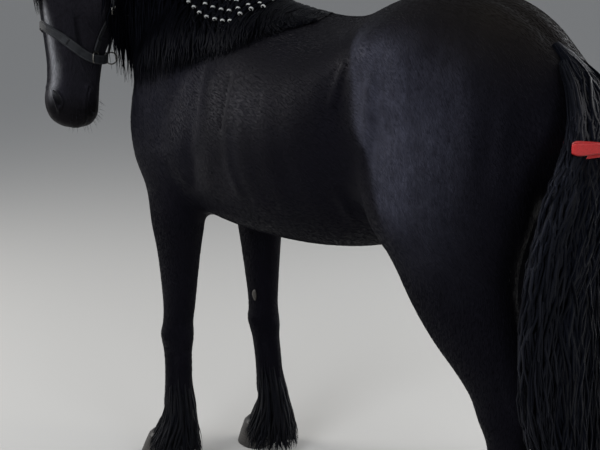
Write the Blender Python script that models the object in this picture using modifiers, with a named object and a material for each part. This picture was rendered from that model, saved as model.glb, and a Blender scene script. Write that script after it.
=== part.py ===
# A standing Friesian horse, life size, as a still display model.
# Metres, +Z up.  The horse faces -Y, its left side is +X, and the soles stand on z = 0.
# The body is lofted through named cross-sections, joined into one smooth surface,
# shaped muscle by muscle, and then parted with thin cuts into the pieces a person
# would name: head, neck, trunk, legs, ears, eyes, hooves, feathers, mane and tail.
import bpy
import bmesh
import math
import numpy as np
from mathutils import Vector
from mathutils.bvhtree import BVHTree

for old in list(bpy.data.objects):
    bpy.data.objects.remove(old, do_unlink=True)

# ---------------------------------------------------------------- driving sizes
WITHERS = 1.62                 # height at the withers
GAP = 0.0004                   # clearance between two pieces that meet
VOXEL = 0.012                  # grain of the joined surface
ORIGIN = (-0.03988, -0.50019, 0.0)       # shift that puts the frame at the bottom centre of the box
BODY_TRIANGLES = 2600          # facets of head, neck, trunk and legs together
FORE_X, HIND_X = 0.152, 0.172  # half the track of the fore and hind feet
FORE_STEP = (-0.065, 0.085)    # how far the left and right fore feet stand forward (-) or back (+)
HIND_STEP = (0.035, -0.030)    # the same for the hind feet
HEAD_TURN = math.radians(72)   # how far the head looks to the left of the body
HEAD_NOD = math.radians(3)     # muzzle forward of straight down
POLL = (0.275, -0.352, 1.783)  # where the head's axis starts, just below the poll
HEAD_LENGTH = 0.662            # poll to lips

COLLECTION = bpy.data.collections.new("friesian_horse")
bpy.context.scene.collection.children.link(COLLECTION)


# ---------------------------------------------------------------- small helpers
def arr(*v):
    return np.array(v, float)


def unit(v):
    return v / np.maximum(np.linalg.norm(v, axis=-1, keepdims=True), 1e-12)


def smoothstep(a, b, x):
    t = np.clip((x - a) / (b - a), 0, 1)
    return t * t * (3 - 2 * t)


def dense(rows, per):
    """Catmull-Rom rows between the given rows, per of them to each span."""
    rows = np.asarray(rows, float)
    ext = np.vstack([2 * rows[0] - rows[1], rows, 2 * rows[-1] - rows[-2]])
    out = []
    for i in range(len(rows) - 1):
        p0, p1, p2, p3 = ext[i:i + 4]
        for k in range(per):
            t = k / per
            out.append(0.5 * (2 * p1 + (p2 - p0) * t + (2 * p0 - 5 * p1 + 4 * p2 - p3) * t * t
                              + (3 * p1 - p0 - 3 * p2 + p3) * t ** 3))
    out.append(rows[-1])
    return np.array(out)


def ring(row, n):
    """One closed cross-section.  row: centre 3, across 3, up 3, half width, height up,
    height down, roundness up, roundness down (2 is an ellipse, more is boxier)."""
    c, ax, up = row[0:3], unit(row[3:6]), row[6:9]
    up = unit(up - ax * np.dot(up, ax))
    w, hu, hd, nu, nd = row[9:14]
    a = np.arange(n) * 2 * math.pi / n
    co, si = np.cos(a), np.sin(a)
    e = 2 / np.where(si >= 0, nu, nd)
    x = w * np.sign(co) * np.abs(co) ** e
    y = np.where(si >= 0, hu, hd) * np.sign(si) * np.abs(si) ** e
    return c + x[:, None] * ax + y[:, None] * up


def add_loft(bm, rings):
    """Skin a list of rings of equal count, closed at both ends."""
    verts = [[bm.verts.new(p) for p in r] for r in rings]
    n = len(verts[0])
    for a, b in zip(verts, verts[1:]):
        for k in range(n):
            bm.faces.new((a[k], a[(k + 1) % n], b[(k + 1) % n], b[k]))
    bm.faces.new(list(reversed(verts[0])))
    bm.faces.new(verts[-1])


def loft(bm, rows, n=28, per=4):
    add_loft(bm, [ring(r, n) for r in dense(rows, per)])


def mesh_object(name, bm, tri=False):
    bmesh.ops.recalc_face_normals(bm, faces=bm.faces)
    if tri:
        bmesh.ops.triangulate(bm, faces=bm.faces)
    mesh = bpy.data.meshes.new(name)
    bm.to_mesh(mesh)
    bm.free()
    obj = bpy.data.objects.new(name, mesh)
    COLLECTION.objects.link(obj)
    return obj


def baked(obj):
    """Apply the object's modifiers to its mesh."""
    bpy.context.view_layer.update()
    graph = bpy.context.evaluated_depsgraph_get()
    mesh = bpy.data.meshes.new_from_object(obj.evaluated_get(graph))
    obj.modifiers.clear()
    obj.data = mesh
    return obj


def coords(mesh):
    p = np.empty(len(mesh.vertices) * 3, np.float32)
    mesh.vertices.foreach_get("co", p)
    return p.reshape(-1, 3).astype(float)


def normals(mesh):
    p = np.empty(len(mesh.vertices) * 3, np.float32)
    mesh.vertex_normals.foreach_get("vector", p)
    return p.reshape(-1, 3).astype(float)


def put(mesh, p):
    mesh.vertices.foreach_set("co", np.ascontiguousarray(p, np.float32).ravel())
    mesh.update()


def relax(p, edges, weight, rounds, taubin=True):
    """Smooth points along the mesh's edges; weight says how much for each point."""
    n = len(p)
    deg = np.bincount(edges.ravel(), minlength=n).astype(float)
    deg = np.maximum(deg, 1)[:, None]
    w = np.asarray(weight, float).reshape(-1, 1)
    for k in range(rounds):
        for f in ((0.5, -0.52) if taubin else (0.5,)):
            s = np.zeros_like(p)
            for ax in range(3):
                s[:, ax] = (np.bincount(edges[:, 0], p[edges[:, 1], ax], n)
                            + np.bincount(edges[:, 1], p[edges[:, 0], ax], n))
            p = p + f * w * (s / deg - p)
    return p


# ---------------------------------------------------------------- the body's sections
def trunk_rows():
    # y, top z, bottom z, half width, height of the widest line, roundness up, down
    table = [
        (-0.300, 1.205, 1.085, 0.045, 1.145, 2.0, 2.0),   # point of the breast
        (-0.270, 1.300, 1.020, 0.102, 1.150, 2.0, 2.1),
        (-0.215, 1.410, 0.965, 0.146, 1.150, 2.0, 2.2),   # points of the shoulders
        (-0.140, 1.520, 0.925, 0.180, 1.160, 1.9, 2.2),
        (-0.060, 1.600, 0.895, 0.206, 1.150, 1.7, 2.2),
        (0.040, 1.622, 0.872, 0.236, 1.120, 1.6, 2.2),    # withers
        (0.150, 1.604, 0.858, 0.256, 1.110, 1.65, 2.2),   # girth
        (0.280, 1.562, 0.850, 0.282, 1.125, 1.85, 2.2),
        (0.420, 1.532, 0.850, 0.303, 1.150, 2.0, 2.2),    # the barrel
        (0.560, 1.520, 0.858, 0.311, 1.170, 2.1, 2.15),
        (0.700, 1.540, 0.880, 0.303, 1.215, 2.2, 2.1),    # loins
        (0.820, 1.586, 0.918, 0.290, 1.290, 2.4, 2.0),    # flank
        (0.940, 1.616, 0.968, 0.290, 1.360, 2.6, 2.0),    # points of the hips
        (1.050, 1.602, 0.995, 0.280, 1.340, 2.4, 2.0),    # top of the croup
        (1.150, 1.562, 1.015, 0.258, 1.300, 2.2, 2.0),
        (1.240, 1.500, 1.045, 0.222, 1.260, 2.0, 2.0),
        (1.310, 1.435, 1.095, 0.170, 1.245, 2.0, 2.0),    # root of the tail
        (1.352, 1.345, 1.155, 0.100, 1.245, 2.0, 2.0),
        (1.370, 1.285, 1.210, 0.040, 1.248, 2.0, 2.0),    # buttocks
    ]
    return [[0, y, zw, 1, 0, 0, 0, 0, 1, w, zt - zw, zw - zb, nu, nd]
            for y, zt, zb, w, zw, nu, nd in table]


def neck_rows():
    # crest point, throat point, half width
    table = [
        ((0.000, 0.110, 1.555), (0.000, -0.235, 1.010), 0.148),
        ((0.000, -0.015, 1.648), (0.000, -0.325, 1.180), 0.138),
        ((-0.008, -0.112, 1.745), (0.020, -0.372, 1.320), 0.120),
        ((0.004, -0.195, 1.830), (0.050, -0.372, 1.440), 0.104),
        ((0.050, -0.262, 1.884), (0.090, -0.350, 1.540), 0.094),
        ((0.120, -0.304, 1.900), (0.132, -0.332, 1.610), 0.088),
        ((0.200, -0.328, 1.880), (0.185, -0.325, 1.660), 0.080),
    ]
    crest = np.array([t[0] for t in table])
    throat = np.array([t[1] for t in table])
    centre = crest * 0.45 + throat * 0.55
    tangent = unit(np.gradient(centre, axis=0))
    rows = []
    for i, t in enumerate(table):
        up = crest[i] - centre[i]
        across = unit(np.cross(tangent[i], unit(up)))
        rows.append([*centre[i], *across, *unit(up), t[2], np.linalg.norm(up),
                     np.linalg.norm(throat[i] - centre[i]), 1.75, 1.95])
    return rows


FACE = arr(math.sin(HEAD_TURN), -math.cos(HEAD_TURN), 0)      # the way the face looks
LEFT = arr(math.cos(HEAD_TURN), math.sin(HEAD_TURN), 0)       # the head's own left
AXIS = math.sin(HEAD_NOD) * FACE - math.cos(HEAD_NOD) * arr(0, 0, 1)   # poll to muzzle
FRONT = unit(math.cos(HEAD_NOD) * FACE + math.sin(HEAD_NOD) * arr(0, 0, 1))


def on_head(s, f, x):
    """The place s down the head's axis, f out towards the face and x to its left."""
    return arr(*POLL) + s * AXIS + f * FRONT + x * LEFT


def head_rows():
    # s down the axis, depth to the face, depth to the jaw, half width, roundness face, jaw
    table = [
        (-0.045, 0.018, 0.040, 0.036, 2.0, 2.0),
        (-0.020, 0.048, 0.075, 0.058, 2.0, 2.0),
        (0.030, 0.074, 0.112, 0.074, 2.2, 2.0),
        (0.085, 0.094, 0.142, 0.087, 2.3, 2.0),
        (0.145, 0.107, 0.166, 0.097, 2.4, 2.0),    # forehead
        (0.200, 0.111, 0.180, 0.100, 2.5, 2.0),    # eyes
        (0.255, 0.107, 0.178, 0.093, 2.5, 2.0),    # cheeks
        (0.310, 0.101, 0.154, 0.078, 2.5, 2.0),
        (0.370, 0.092, 0.122, 0.065, 2.5, 2.1),
        (0.430, 0.084, 0.099, 0.058, 2.4, 2.1),
        (0.490, 0.083, 0.089, 0.058, 2.3, 2.1),
        (0.540, 0.088, 0.086, 0.065, 2.2, 2.1),    # nostrils
        (0.580, 0.084, 0.083, 0.063, 2.1, 2.1),
        (0.612, 0.064, 0.068, 0.050, 2.0, 2.0),    # lips
        (0.632, 0.026, 0.038, 0.026, 2.0, 2.0),
    ]
    k = HEAD_LENGTH / 0.640
    return [[*on_head(s * k, 0, 0), *LEFT, *FRONT, w, f, r, nf, nj] for s, f, r, w, nf, nj in table]


def leg_rows(table, x_sign, step):
    rows = []
    for z, y, x, rx, ry, tilt in table:
        move = step * (1 - min(z, 1.05) / 1.05) / (1 - 0.08 / 1.05)
        a = math.radians(tilt)
        rows.append([x_sign * x, y + move, z, 1, 0, 0, 0, math.cos(a), math.sin(a),
                     rx, ry, ry, 2.1, 2.1])
    return rows


FORE = [  # z, y, x, half across, half fore-and-aft, tilt of the section
    (1.500, 0.020, 0.095, 0.055, 0.090, 0),
    (1.380, -0.025, 0.140, 0.078, 0.150, 0),
    (1.260, -0.040, 0.148, 0.085, 0.158, 0),
    (1.150, -0.052, 0.150, 0.087, 0.156, 0),     # point of the shoulder
    (1.050, -0.040, 0.157, 0.088, 0.150, 0),
    (0.960, -0.012, 0.159, 0.081, 0.122, 0),     # elbow
    (0.880, 0.000, 0.161, 0.075, 0.102, 0),
    (0.780, 0.000, 0.158, 0.063, 0.084, 0),      # forearm
    (0.680, 0.000, 0.155, 0.055, 0.071, 0),
    (0.580, 0.000, FORE_X, 0.049, 0.059, 0),
    (0.515, -0.003, FORE_X, 0.047, 0.054, 0),
    (0.460, -0.006, FORE_X, 0.052, 0.055, 0),    # knee
    (0.410, -0.002, FORE_X, 0.046, 0.050, 0),
    (0.350, 0.003, FORE_X, 0.043, 0.049, 0),     # cannon
    (0.280, 0.004, FORE_X, 0.042, 0.050, 0),
    (0.220, 0.004, FORE_X, 0.043, 0.054, 0),     # fetlock
    (0.170, -0.012, FORE_X, 0.035, 0.041, -25),
    (0.120, -0.040, FORE_X, 0.037, 0.043, -30),  # pastern
    (0.060, -0.072, FORE_X, 0.042, 0.044, -10),
]
HIND = [
    (1.450, 1.000, 0.125, 0.105, 0.160, 0),
    (1.320, 1.020, 0.150, 0.124, 0.240, 0),
    (1.200, 1.032, 0.161, 0.126, 0.282, 0),      # thigh
    (1.080, 1.052, 0.166, 0.121, 0.262, 0),
    (0.980, 1.080, 0.170, 0.106, 0.208, 5),      # stifle
    (0.880, 1.116, 0.172, 0.088, 0.162, 16),
    (0.785, 1.156, 0.173, 0.076, 0.132, 24),     # gaskin
    (0.705, 1.200, 0.172, 0.064, 0.106, 24),
    (0.640, 1.232, HIND_X, 0.055, 0.090, 18),
    (0.580, 1.248, HIND_X, 0.053, 0.080, 8),     # hock
    (0.520, 1.258, HIND_X, 0.049, 0.063, 3),
    (0.455, 1.260, HIND_X, 0.042, 0.052, 0),
    (0.380, 1.260, HIND_X, 0.038, 0.047, 0),     # cannon
    (0.290, 1.260, HIND_X, 0.038, 0.048, 0),
    (0.220, 1.258, HIND_X, 0.039, 0.049, 0),     # fetlock
    (0.170, 1.242, HIND_X, 0.036, 0.043, -22),
    (0.120, 1.216, HIND_X, 0.037, 0.044, -28),   # pastern
    (0.060, 1.188, HIND_X, 0.042, 0.044, -10),
]


def whole_body():
    """Trunk, neck, head and legs as one smooth closed surface of even quads."""
    bm = bmesh.new()
    loft(bm, trunk_rows(), 40)
    loft(bm, neck_rows(), 32, 6)
    loft(bm, head_rows(), 32)
    for sign, fore, hind in ((1, FORE_STEP[0], HIND_STEP[0]), (-1, FORE_STEP[1], HIND_STEP[1])):
        loft(bm, leg_rows(FORE, sign, fore), 28)
        loft(bm, leg_rows(HIND, sign, hind), 28)
    body = mesh_object("body", bm)
    mod = body.modifiers.new("join", "REMESH")
    mod.mode = "VOXEL"
    mod.voxel_size = VOXEL
    baked(body)
    p = coords(body.data)
    edges = np.empty(len(body.data.edges) * 2, np.int32)
    body.data.edges.foreach_get("vertices", edges)
    edges = edges.reshape(-1, 2)
    p = relax(p, edges, np.ones(len(p)), 4)
    p = relax(p, edges, blend_weight(p), 26, taubin=False)
    put(body.data, p)
    for shape in MUSCLES:
        p = coords(body.data)
        nrm = normals(body.data)
        put(body.data, shape(p, nrm))
    p = relax(coords(body.data), edges, np.ones(len(p)), 3)
    put(body.data, p)
    return body


def blend_weight(p):
    """Where lofts run into each other, so their seams melt; the slim parts keep their shape."""
    x, y, z = p.T
    w = 0.75 * smoothstep(0.80, 0.98, z) * smoothstep(1.90, 1.70, z)
    w *= 1 - 0.75 * smoothstep(0.20, 0.10, np.linalg.norm((p - on_head(0.30, 0, 0)) * arr(1, 1, 0.55), axis=1))
    w *= 1 - smoothstep(0.12, 0.30, (p - arr(*POLL)) @ AXIS) * smoothstep(0.30, 0.22, np.linalg.norm((p - on_head(0.3, 0, 0))[:, :2], axis=1))
    return w


# ---------------------------------------------------------------- muscles
def bump(centre, radius, amount, both=True, along=None):
    """A soft swelling (or hollow) of the surface round a place on the left side and its mirror."""
    centre, radius = arr(*centre), np.broadcast_to(radius, 3).astype(float)

    def act(p, nrm):
        out = p.copy()
        for sign in ((1, -1) if both else (1,)):
            c = centre * arr(sign, 1, 1)
            g = np.exp(-(((p - c) / radius) ** 2).sum(1))[:, None]
            d = nrm if along is None else arr(*along) * arr(sign, 1, 1)
            out = out + amount * g * d
        return out
    return act


def stroke(points, width, amount, both=True, side=0.0):
    """A ridge (or groove) along a line of places on the left side and its mirror."""
    pts = arr(*points)

    def act(p, nrm):
        out = p.copy()
        for sign in ((1, -1) if both else (1,)):
            q = pts * arr(sign, 1, 1)
            best = np.full(len(p), 9.0)
            for a, b in zip(q, q[1:]):
                ab = b - a
                t = np.clip(((p - a) @ ab) / (ab @ ab), 0, 1)
                best = np.minimum(best, np.linalg.norm(p - a - t[:, None] * ab, axis=1))
            keep = (p[:, 0] * sign > side) if both else np.ones(len(p), bool)
            g = np.where(keep, np.exp(-(best / width) ** 2), 0)[:, None]
            out = out + amount * g * nrm
        return out
    return act


def head_bump(s, f, x, radius, amount, both=True):
    """The same on the head, in its own directions: down the axis, to the face, to the side."""
    def act(p, nrm):
        out = p.copy()
        for sign in ((1, -1) if both else (1,)):
            d = p - on_head(s, f, x * sign)
            q = np.stack([d @ AXIS, d @ FRONT, d @ LEFT], 1) / np.broadcast_to(radius, 3)
            out = out + amount * np.exp(-(q ** 2).sum(1))[:, None] * nrm
        return out
    return act


MUSCLES = [
    # shoulder and chest
    bump((0.180, -0.185, 1.130), (0.07, 0.07, 0.09), 0.008),           # point of the shoulder
    bump((0.085, -0.300, 1.080), (0.075, 0.07, 0.10), 0.018),          # breast muscle
    stroke([(0.0, -0.36, 1.22), (0.0, -0.32, 1.05), (0.0, -0.24, 0.94)], 0.030, -0.018, both=False),
    bump((0.240, 0.060, 1.090), (0.07, 0.11, 0.11), 0.018),            # triceps
    stroke([(0.20, 0.150, 1.42), (0.25, 0.185, 1.20), (0.25, 0.165, 1.02)], 0.040, -0.010),
    stroke([(0.16, -0.06, 1.46), (0.22, -0.14, 1.28), (0.24, -0.20, 1.16)], 0.035, 0.008),
    bump((0.140, 0.040, 1.500), (0.06, 0.12, 0.09), -0.010),           # behind the shoulder blade
    bump((0.0, 0.020, 1.630), (0.04, 0.12, 0.05), 0.006, both=False),  # withers
    # barrel
    bump((0.300, 0.420, 1.100), (0.12, 0.22, 0.20), 0.010),
    bump((0.270, 0.800, 1.330), (0.06, 0.075, 0.11), -0.022),          # hollow of the flank
    bump((0.255, 0.800, 1.020), (0.07, 0.070, 0.08), -0.012),          # fold before the stifle
    # haunch
    bump((0.250, 0.870, 1.455), (0.045, 0.055, 0.055), 0.020),         # point of the hip
    bump((0.215, 1.020, 1.470), (0.10, 0.14, 0.10), 0.016),            # croup muscle
    bump((0.270, 1.140, 1.220), (0.09, 0.13, 0.17), 0.016),            # thigh
    bump((0.270, 0.900, 1.080), (0.08, 0.10, 0.12), 0.014),            # before the thigh
    stroke([(0.22, 1.230, 1.44), (0.25, 1.235, 1.24), (0.22, 1.215, 1.02)], 0.030, -0.010),
    bump((0.230, 0.850, 0.985), (0.06, 0.06, 0.07), 0.012),            # stifle
    bump((0.220, 1.050, 0.870), (0.06, 0.09, 0.10), 0.010),            # gaskin
    stroke([(0.0, 0.62, 1.56), (0.0, 0.90, 1.60), (0.0, 1.12, 1.60), (0.0, 1.27, 1.50)], 0.030, -0.009, both=False),
    # forearm, knee and hock
    bump((0.195, -0.045, 0.860), (0.05, 0.06, 0.09), 0.010),
    bump((0.205, 0.040, 0.830), (0.05, 0.05, 0.09), 0.006),
    # neck
    bump((0.120, -0.180, 1.420), (0.07, 0.10, 0.12), 0.010),
    stroke([(0.105, -0.27, 1.20), (0.115, -0.31, 1.34), (0.125, -0.30, 1.48)], 0.024, -0.012, both=False),
    stroke([(-0.105, -0.28, 1.20), (-0.085, -0.33, 1.34), (-0.03, -0.37, 1.48)], 0.024, -0.012, both=False),
    # head
    head_bump(0.190, 0.060, 0.095, (0.035, 0.030, 0.030), 0.012),      # brow over the eye
    head_bump(0.235, -0.085, 0.085, (0.070, 0.070, 0.040), 0.012),     # cheek
    head_bump(0.300, -0.140, 0.000, (0.120, 0.060, 0.022), -0.016, both=False),  # between the jaws
    head_bump(0.345, 0.030, 0.070, (0.060, 0.016, 0.030), 0.005),      # facial crest
    head_bump(0.330, 0.075, 0.055, (0.070, 0.030, 0.030), -0.006),
    head_bump(0.540, 0.045, 0.055, (0.030, 0.030, 0.025), 0.009),      # nostril
    head_bump(0.600, -0.050, 0.000, (0.028, 0.028, 0.040), 0.008, both=False),   # chin
    head_bump(0.115, 0.075, 0.070, (0.030, 0.030, 0.025), -0.006),     # hollow above the eye
]


# ---------------------------------------------------------------- parting the body
def boolean(obj, other, how):
    mod = obj.modifiers.new(how, "BOOLEAN")
    mod.operation = how
    mod.object = other
    mod.solver = "EXACT"
    return baked(obj)


def largest(obj):
    """Keep the biggest shell of the mesh; crumbs left by a cut go."""
    bm = bmesh.new()
    bm.from_mesh(obj.data)
    bmesh.ops.remove_doubles(bm, verts=bm.verts, dist=2e-6)
    bmesh.ops.dissolve_degenerate(bm, edges=bm.edges, dist=2e-6)
    left = set(bm.verts)
    shells = []
    while left:
        todo = [left.pop()]
        shell = set(todo)
        while todo:
            for e in todo.pop().link_edges:
                for v in e.verts:
                    if v in left:
                        left.discard(v)
                        shell.add(v)
                        todo.append(v)
        shells.append(shell)
    shells.sort(key=len)
    for shell in shells[:-1]:
        bmesh.ops.delete(bm, geom=list(shell), context="VERTS")
    bmesh.ops.triangulate(bm, faces=[f for f in bm.faces if len(f.verts) > 3])
    bm.to_mesh(obj.data)
    bm.free()
    return obj


def copy_of(obj, name):
    new = bpy.data.objects.new(name, obj.data.copy())
    COLLECTION.objects.link(new)
    return new


def swollen(obj, name, by):
    """A copy grown outwards, to cut a neighbour so that it clears this piece."""
    new = copy_of(obj, name)
    put(new.data, coords(new.data) + by * normals(new.data))
    return new


def material(obj, colour, rough, metal=0.0):
    mat = bpy.data.materials.new(obj.name)
    mat.use_nodes = True
    shader = mat.node_tree.nodes["Principled BSDF"]
    shader.inputs["Base Color"].default_value = (*colour, 1)
    shader.inputs["Roughness"].default_value = rough
    shader.inputs["Metallic"].default_value = metal
    mat.diffuse_color = (*colour, 1)
    obj.data.materials.clear()
    obj.data.materials.append(mat)


BLACK, HAIR, HORN = (0.012, 0.012, 0.015), (0.008, 0.008, 0.011), (0.030, 0.027, 0.025)
body = whole_body()
mod = body.modifiers.new("facets", "DECIMATE")
head_group = body.vertex_groups.new(name="coarse")
hp = coords(body.data)
along = (hp - arr(*POLL)) @ AXIS
near = np.linalg.norm((hp - arr(*POLL)) - along[:, None] * AXIS, axis=1)
on_face = (along > -0.05) & (near < 0.24) & (hp[:, 2] > 1.05)
for i in np.nonzero(~on_face)[0]:
    head_group.add([int(i)], 1.0, "REPLACE")
mod.vertex_group = head_group.name
mod.ratio = 0.5
faces_now = len(body.data.loop_triangles) if body.data.loop_triangles else 0
body.data.calc_loop_triangles()
faces_now = len(body.data.loop_triangles)
face_share = float(on_face.mean())
target = (BODY_TRIANGLES * 0.80 + face_share * faces_now) / faces_now
mod.ratio = target
baked(body)
body.data.calc_loop_triangles()
mod = body.modifiers.new("facets", "DECIMATE")
mod.ratio = BODY_TRIANGLES / len(body.data.loop_triangles)
baked(body)
largest(body)
body_fit = swollen(body, "body_fit", GAP)

G = GAP / 2
parts = {}


def moved_outline(pts, by):
    """The outline grown by that much on every side (negative shrinks); pts run anticlockwise."""
    pts = arr(*pts)
    out = []
    for k in range(len(pts)):
        a, b, c = pts[k - 1], pts[k], pts[(k + 1) % len(pts)]
        n1 = unit(arr((b - a)[1], -(b - a)[0]))
        n2 = unit(arr((c - b)[1], -(c - b)[0]))
        m = unit(n1 + n2)
        out.append(b + m * by / max(float(np.dot(m, n1)), 0.3))
    return out


def prism(name, pts, low, high, frame):
    """A straight-sided block with the given outline in the frame's first two directions."""
    o, a, b, c = (arr(*v) for v in frame)
    bm = bmesh.new()
    ends = [[bm.verts.new(o + p[0] * a + p[1] * b + h * c) for p in pts] for h in (low, high)]
    bm.faces.new(ends[0])
    bm.faces.new(list(reversed(ends[1])))
    n = len(pts)
    for k in range(n):
        bm.faces.new((ends[0][k], ends[1][k], ends[1][(k + 1) % n], ends[0][(k + 1) % n]))
    return mesh_object(name, bm)


def take(name, pts, low, high, frame):
    """Part off what lies inside a block: the piece keeps inside it, the body outside."""
    block = prism("block", moved_outline(pts, -G), low + G, high - G, frame)
    piece = copy_of(body, name)
    boolean(piece, block, "INTERSECT")
    bpy.data.objects.remove(block, do_unlink=True)
    block = prism("block", moved_outline(pts, G), low - G, high + G, frame)
    boolean(body, block, "DIFFERENCE")
    bpy.data.objects.remove(block, do_unlink=True)
    largest(piece)
    largest(body)
    parts[name] = piece
    return piece


SIDES = (("left", 1, FORE_STEP[0], HIND_STEP[0]), ("right", -1, FORE_STEP[1], HIND_STEP[1]))
FEATHER_TOP = 0.300
side_view = (arr(0, 0, 0), arr(0, 1, 0), arr(0, 0, 1), arr(1, 0, 0))
for side, sign, fs, hs in SIDES:
    fore = [(-0.34, FEATHER_TOP), (0.17, FEATHER_TOP), (0.17, 0.80), (0.125, 0.885), (0.02, 0.930), (-0.34, 0.975)]
    lo, hi = (0.048, 0.40) if sign > 0 else (-0.40, -0.048)
    take("foreleg_" + side, fore, lo, hi, side_view)
    hind = [(0.855, FEATHER_TOP), (1.55, FEATHER_TOP), (1.55, 1.075), (1.00, 1.075), (0.875, 1.045), (0.805, 0.985), (0.815, 0.925), (0.855, 0.885)]
    lo, hi = (0.030, 0.45) if sign > 0 else (-0.45, -0.030)
    take("hindleg_" + side, hind, lo, hi, side_view)
below = prism("block", [(-1, -0.2), (2, -0.2), (2, 0.55), (-1, 0.55)], -1, 1, side_view)
boolean(body, below, "DIFFERENCE")
bpy.data.objects.remove(below, do_unlink=True)
largest(body)

head_outline = [(-0.26, -0.015), (0.02, -0.118), (0.15, -0.200), (0.25, -0.205), (0.34, -0.165), (0.43, -0.125),
                (0.85, -0.125), (0.85, 0.36), (-0.26, 0.36)]
take("head", head_outline, -0.30, 0.30, (POLL, AXIS, FRONT, LEFT))
neck_dir = unit(arr(0.10, -0.62, 0.55))
neck_up = unit(np.cross(arr(1, 0, 0), neck_dir))
take("neck", [(0.0, -0.9), (1.2, -0.9), (1.2, 0.9), (0.0, 0.9)], -0.7, 0.7,
     (arr(0, -0.155, 1.40), neck_dir, neck_up, unit(np.cross(neck_dir, neck_up))))
body.name = "trunk"
parts["trunk"] = body


# ---------------------------------------------------------------- hooves and feathers
HOOF_FORE = [
    (0.000, -0.082, FORE_X, 0.066, 0.074, 0), (0.006, -0.081, FORE_X, 0.066, 0.073, 0),
    (0.045, -0.073, FORE_X, 0.060, 0.064, 0), (0.084, -0.064, FORE_X, 0.053, 0.054, 0),
    (0.094, -0.062, FORE_X, 0.044, 0.044, 0)]
HOOF_HIND = [
    (0.000, 1.176, HIND_X, 0.062, 0.073, 0), (0.006, 1.177, HIND_X, 0.062, 0.072, 0),
    (0.045, 1.184, HIND_X, 0.057, 0.062, 0), (0.084, 1.193, HIND_X, 0.051, 0.053, 0),
    (0.094, 1.195, HIND_X, 0.042, 0.043, 0)]
FEATHER_FORE = [
    (0.298, 0.004, FORE_X, 0.044, 0.053, 0), (0.260, 0.008, FORE_X, 0.048, 0.059, 0),
    (0.210, 0.012, FORE_X, 0.055, 0.068, 0), (0.160, 0.008, FORE_X, 0.065, 0.082, 0),
    (0.110, -0.006, FORE_X, 0.076, 0.096, 0), (0.060, -0.018, FORE_X, 0.088, 0.110, 0),
    (0.022, -0.024, FORE_X, 0.095, 0.118, 0), (0.010, -0.024, FORE_X, 0.090, 0.110, 0)]
FEATHER_HIND = [
    (0.298, 1.262, HIND_X, 0.040, 0.051, 0), (0.260, 1.266, HIND_X, 0.045, 0.058, 0),
    (0.210, 1.270, HIND_X, 0.052, 0.068, 0), (0.160, 1.264, HIND_X, 0.063, 0.082, 0),
    (0.110, 1.250, HIND_X, 0.074, 0.096, 0), (0.060, 1.238, HIND_X, 0.086, 0.110, 0),
    (0.022, 1.232, HIND_X, 0.093, 0.118, 0), (0.010, 1.232, HIND_X, 0.088, 0.110, 0)]


def turned(name, rows, n=18, per=1):
    bm = bmesh.new()
    loft(bm, rows, n, per)
    return mesh_object(name, bm, tri=True)


for side, sign, fs, hs in SIDES:
    for which, hoof_table, feather_table, step in (("fore", HOOF_FORE, FEATHER_FORE, fs), ("hind", HOOF_HIND, FEATHER_HIND, hs)):
        hoof = turned("hoof_%s_%s" % (which, side), leg_rows(hoof_table, sign, step), 12)
        feather = turned("feather_%s_%s" % (which, side), leg_rows(feather_table, sign, step), 10)
        inner = swollen(hoof, "inner", GAP)
        boolean(feather, inner, "DIFFERENCE")
        bpy.data.objects.remove(inner, do_unlink=True)
        largest(feather)
        parts[hoof.name] = hoof
        parts[feather.name] = feather

# ---------------------------------------------------------------- eyes and ears
EYE_RADIUS, EYE_AT = 0.0215, (0.208, 0.060, 0.0800)
for side, sign in (("left", 1), ("right", -1)):
    bpy.ops.mesh.primitive_uv_sphere_add(segments=12, ring_count=8, radius=EYE_RADIUS,
                                         location=on_head(EYE_AT[0], EYE_AT[1], sign * EYE_AT[2]))
    eye = bpy.context.object
    eye.name = "eye_" + side
    for c in list(eye.users_collection):
        c.objects.unlink(eye)
    COLLECTION.objects.link(eye)
    hole = copy_of(eye, "hole")
    hole.matrix_world = eye.matrix_world.copy()
    hole.scale = [1 + 2 * GAP / EYE_RADIUS] * 3
    boolean(parts["head"], hole, "DIFFERENCE")
    bpy.data.objects.remove(hole, do_unlink=True)
    largest(parts["head"])
    parts[eye.name] = eye


def ear_rows(sign):
    """A cupped, pointed ear: it opens forward and outward, its tip curls in."""
    out = unit(-AXIS * 0.96 + LEFT * sign * 0.20 + FRONT * 0.16)
    rows = []
    for h, w, f, b, lean in ((-0.030, 0.022, 0.020, 0.020, 0.000), (0.000, 0.027, 0.022, 0.023, 0.000),
                             (0.035, 0.031, 0.016, 0.024, 0.003), (0.070, 0.028, 0.012, 0.021, 0.005),
                             (0.105, 0.020, 0.009, 0.016, 0.003), (0.132, 0.011, 0.006, 0.010, -0.002),
                             (0.150, 0.003, 0.002, 0.003, -0.008)):
        c = on_head(-0.018, -0.010, sign * 0.045) + h * out + lean * sign * LEFT
        face = unit(FRONT * 0.9 + LEFT * sign * 0.42)
        across = unit(np.cross(out, face))
        rows.append([*c, *across, *face, w, f, b, 2.0, 2.0])
    return rows


def fitted(obj, *others):
    """Trim a piece so that it lies on its neighbours without touching them."""
    for other in others:
        boolean(obj, other, "DIFFERENCE")
        largest(obj)
    parts[obj.name] = obj
    return obj


for side, sign in (("left", 1), ("right", -1)):
    fitted(turned("ear_" + side, ear_rows(sign), 10), body_fit)

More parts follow.
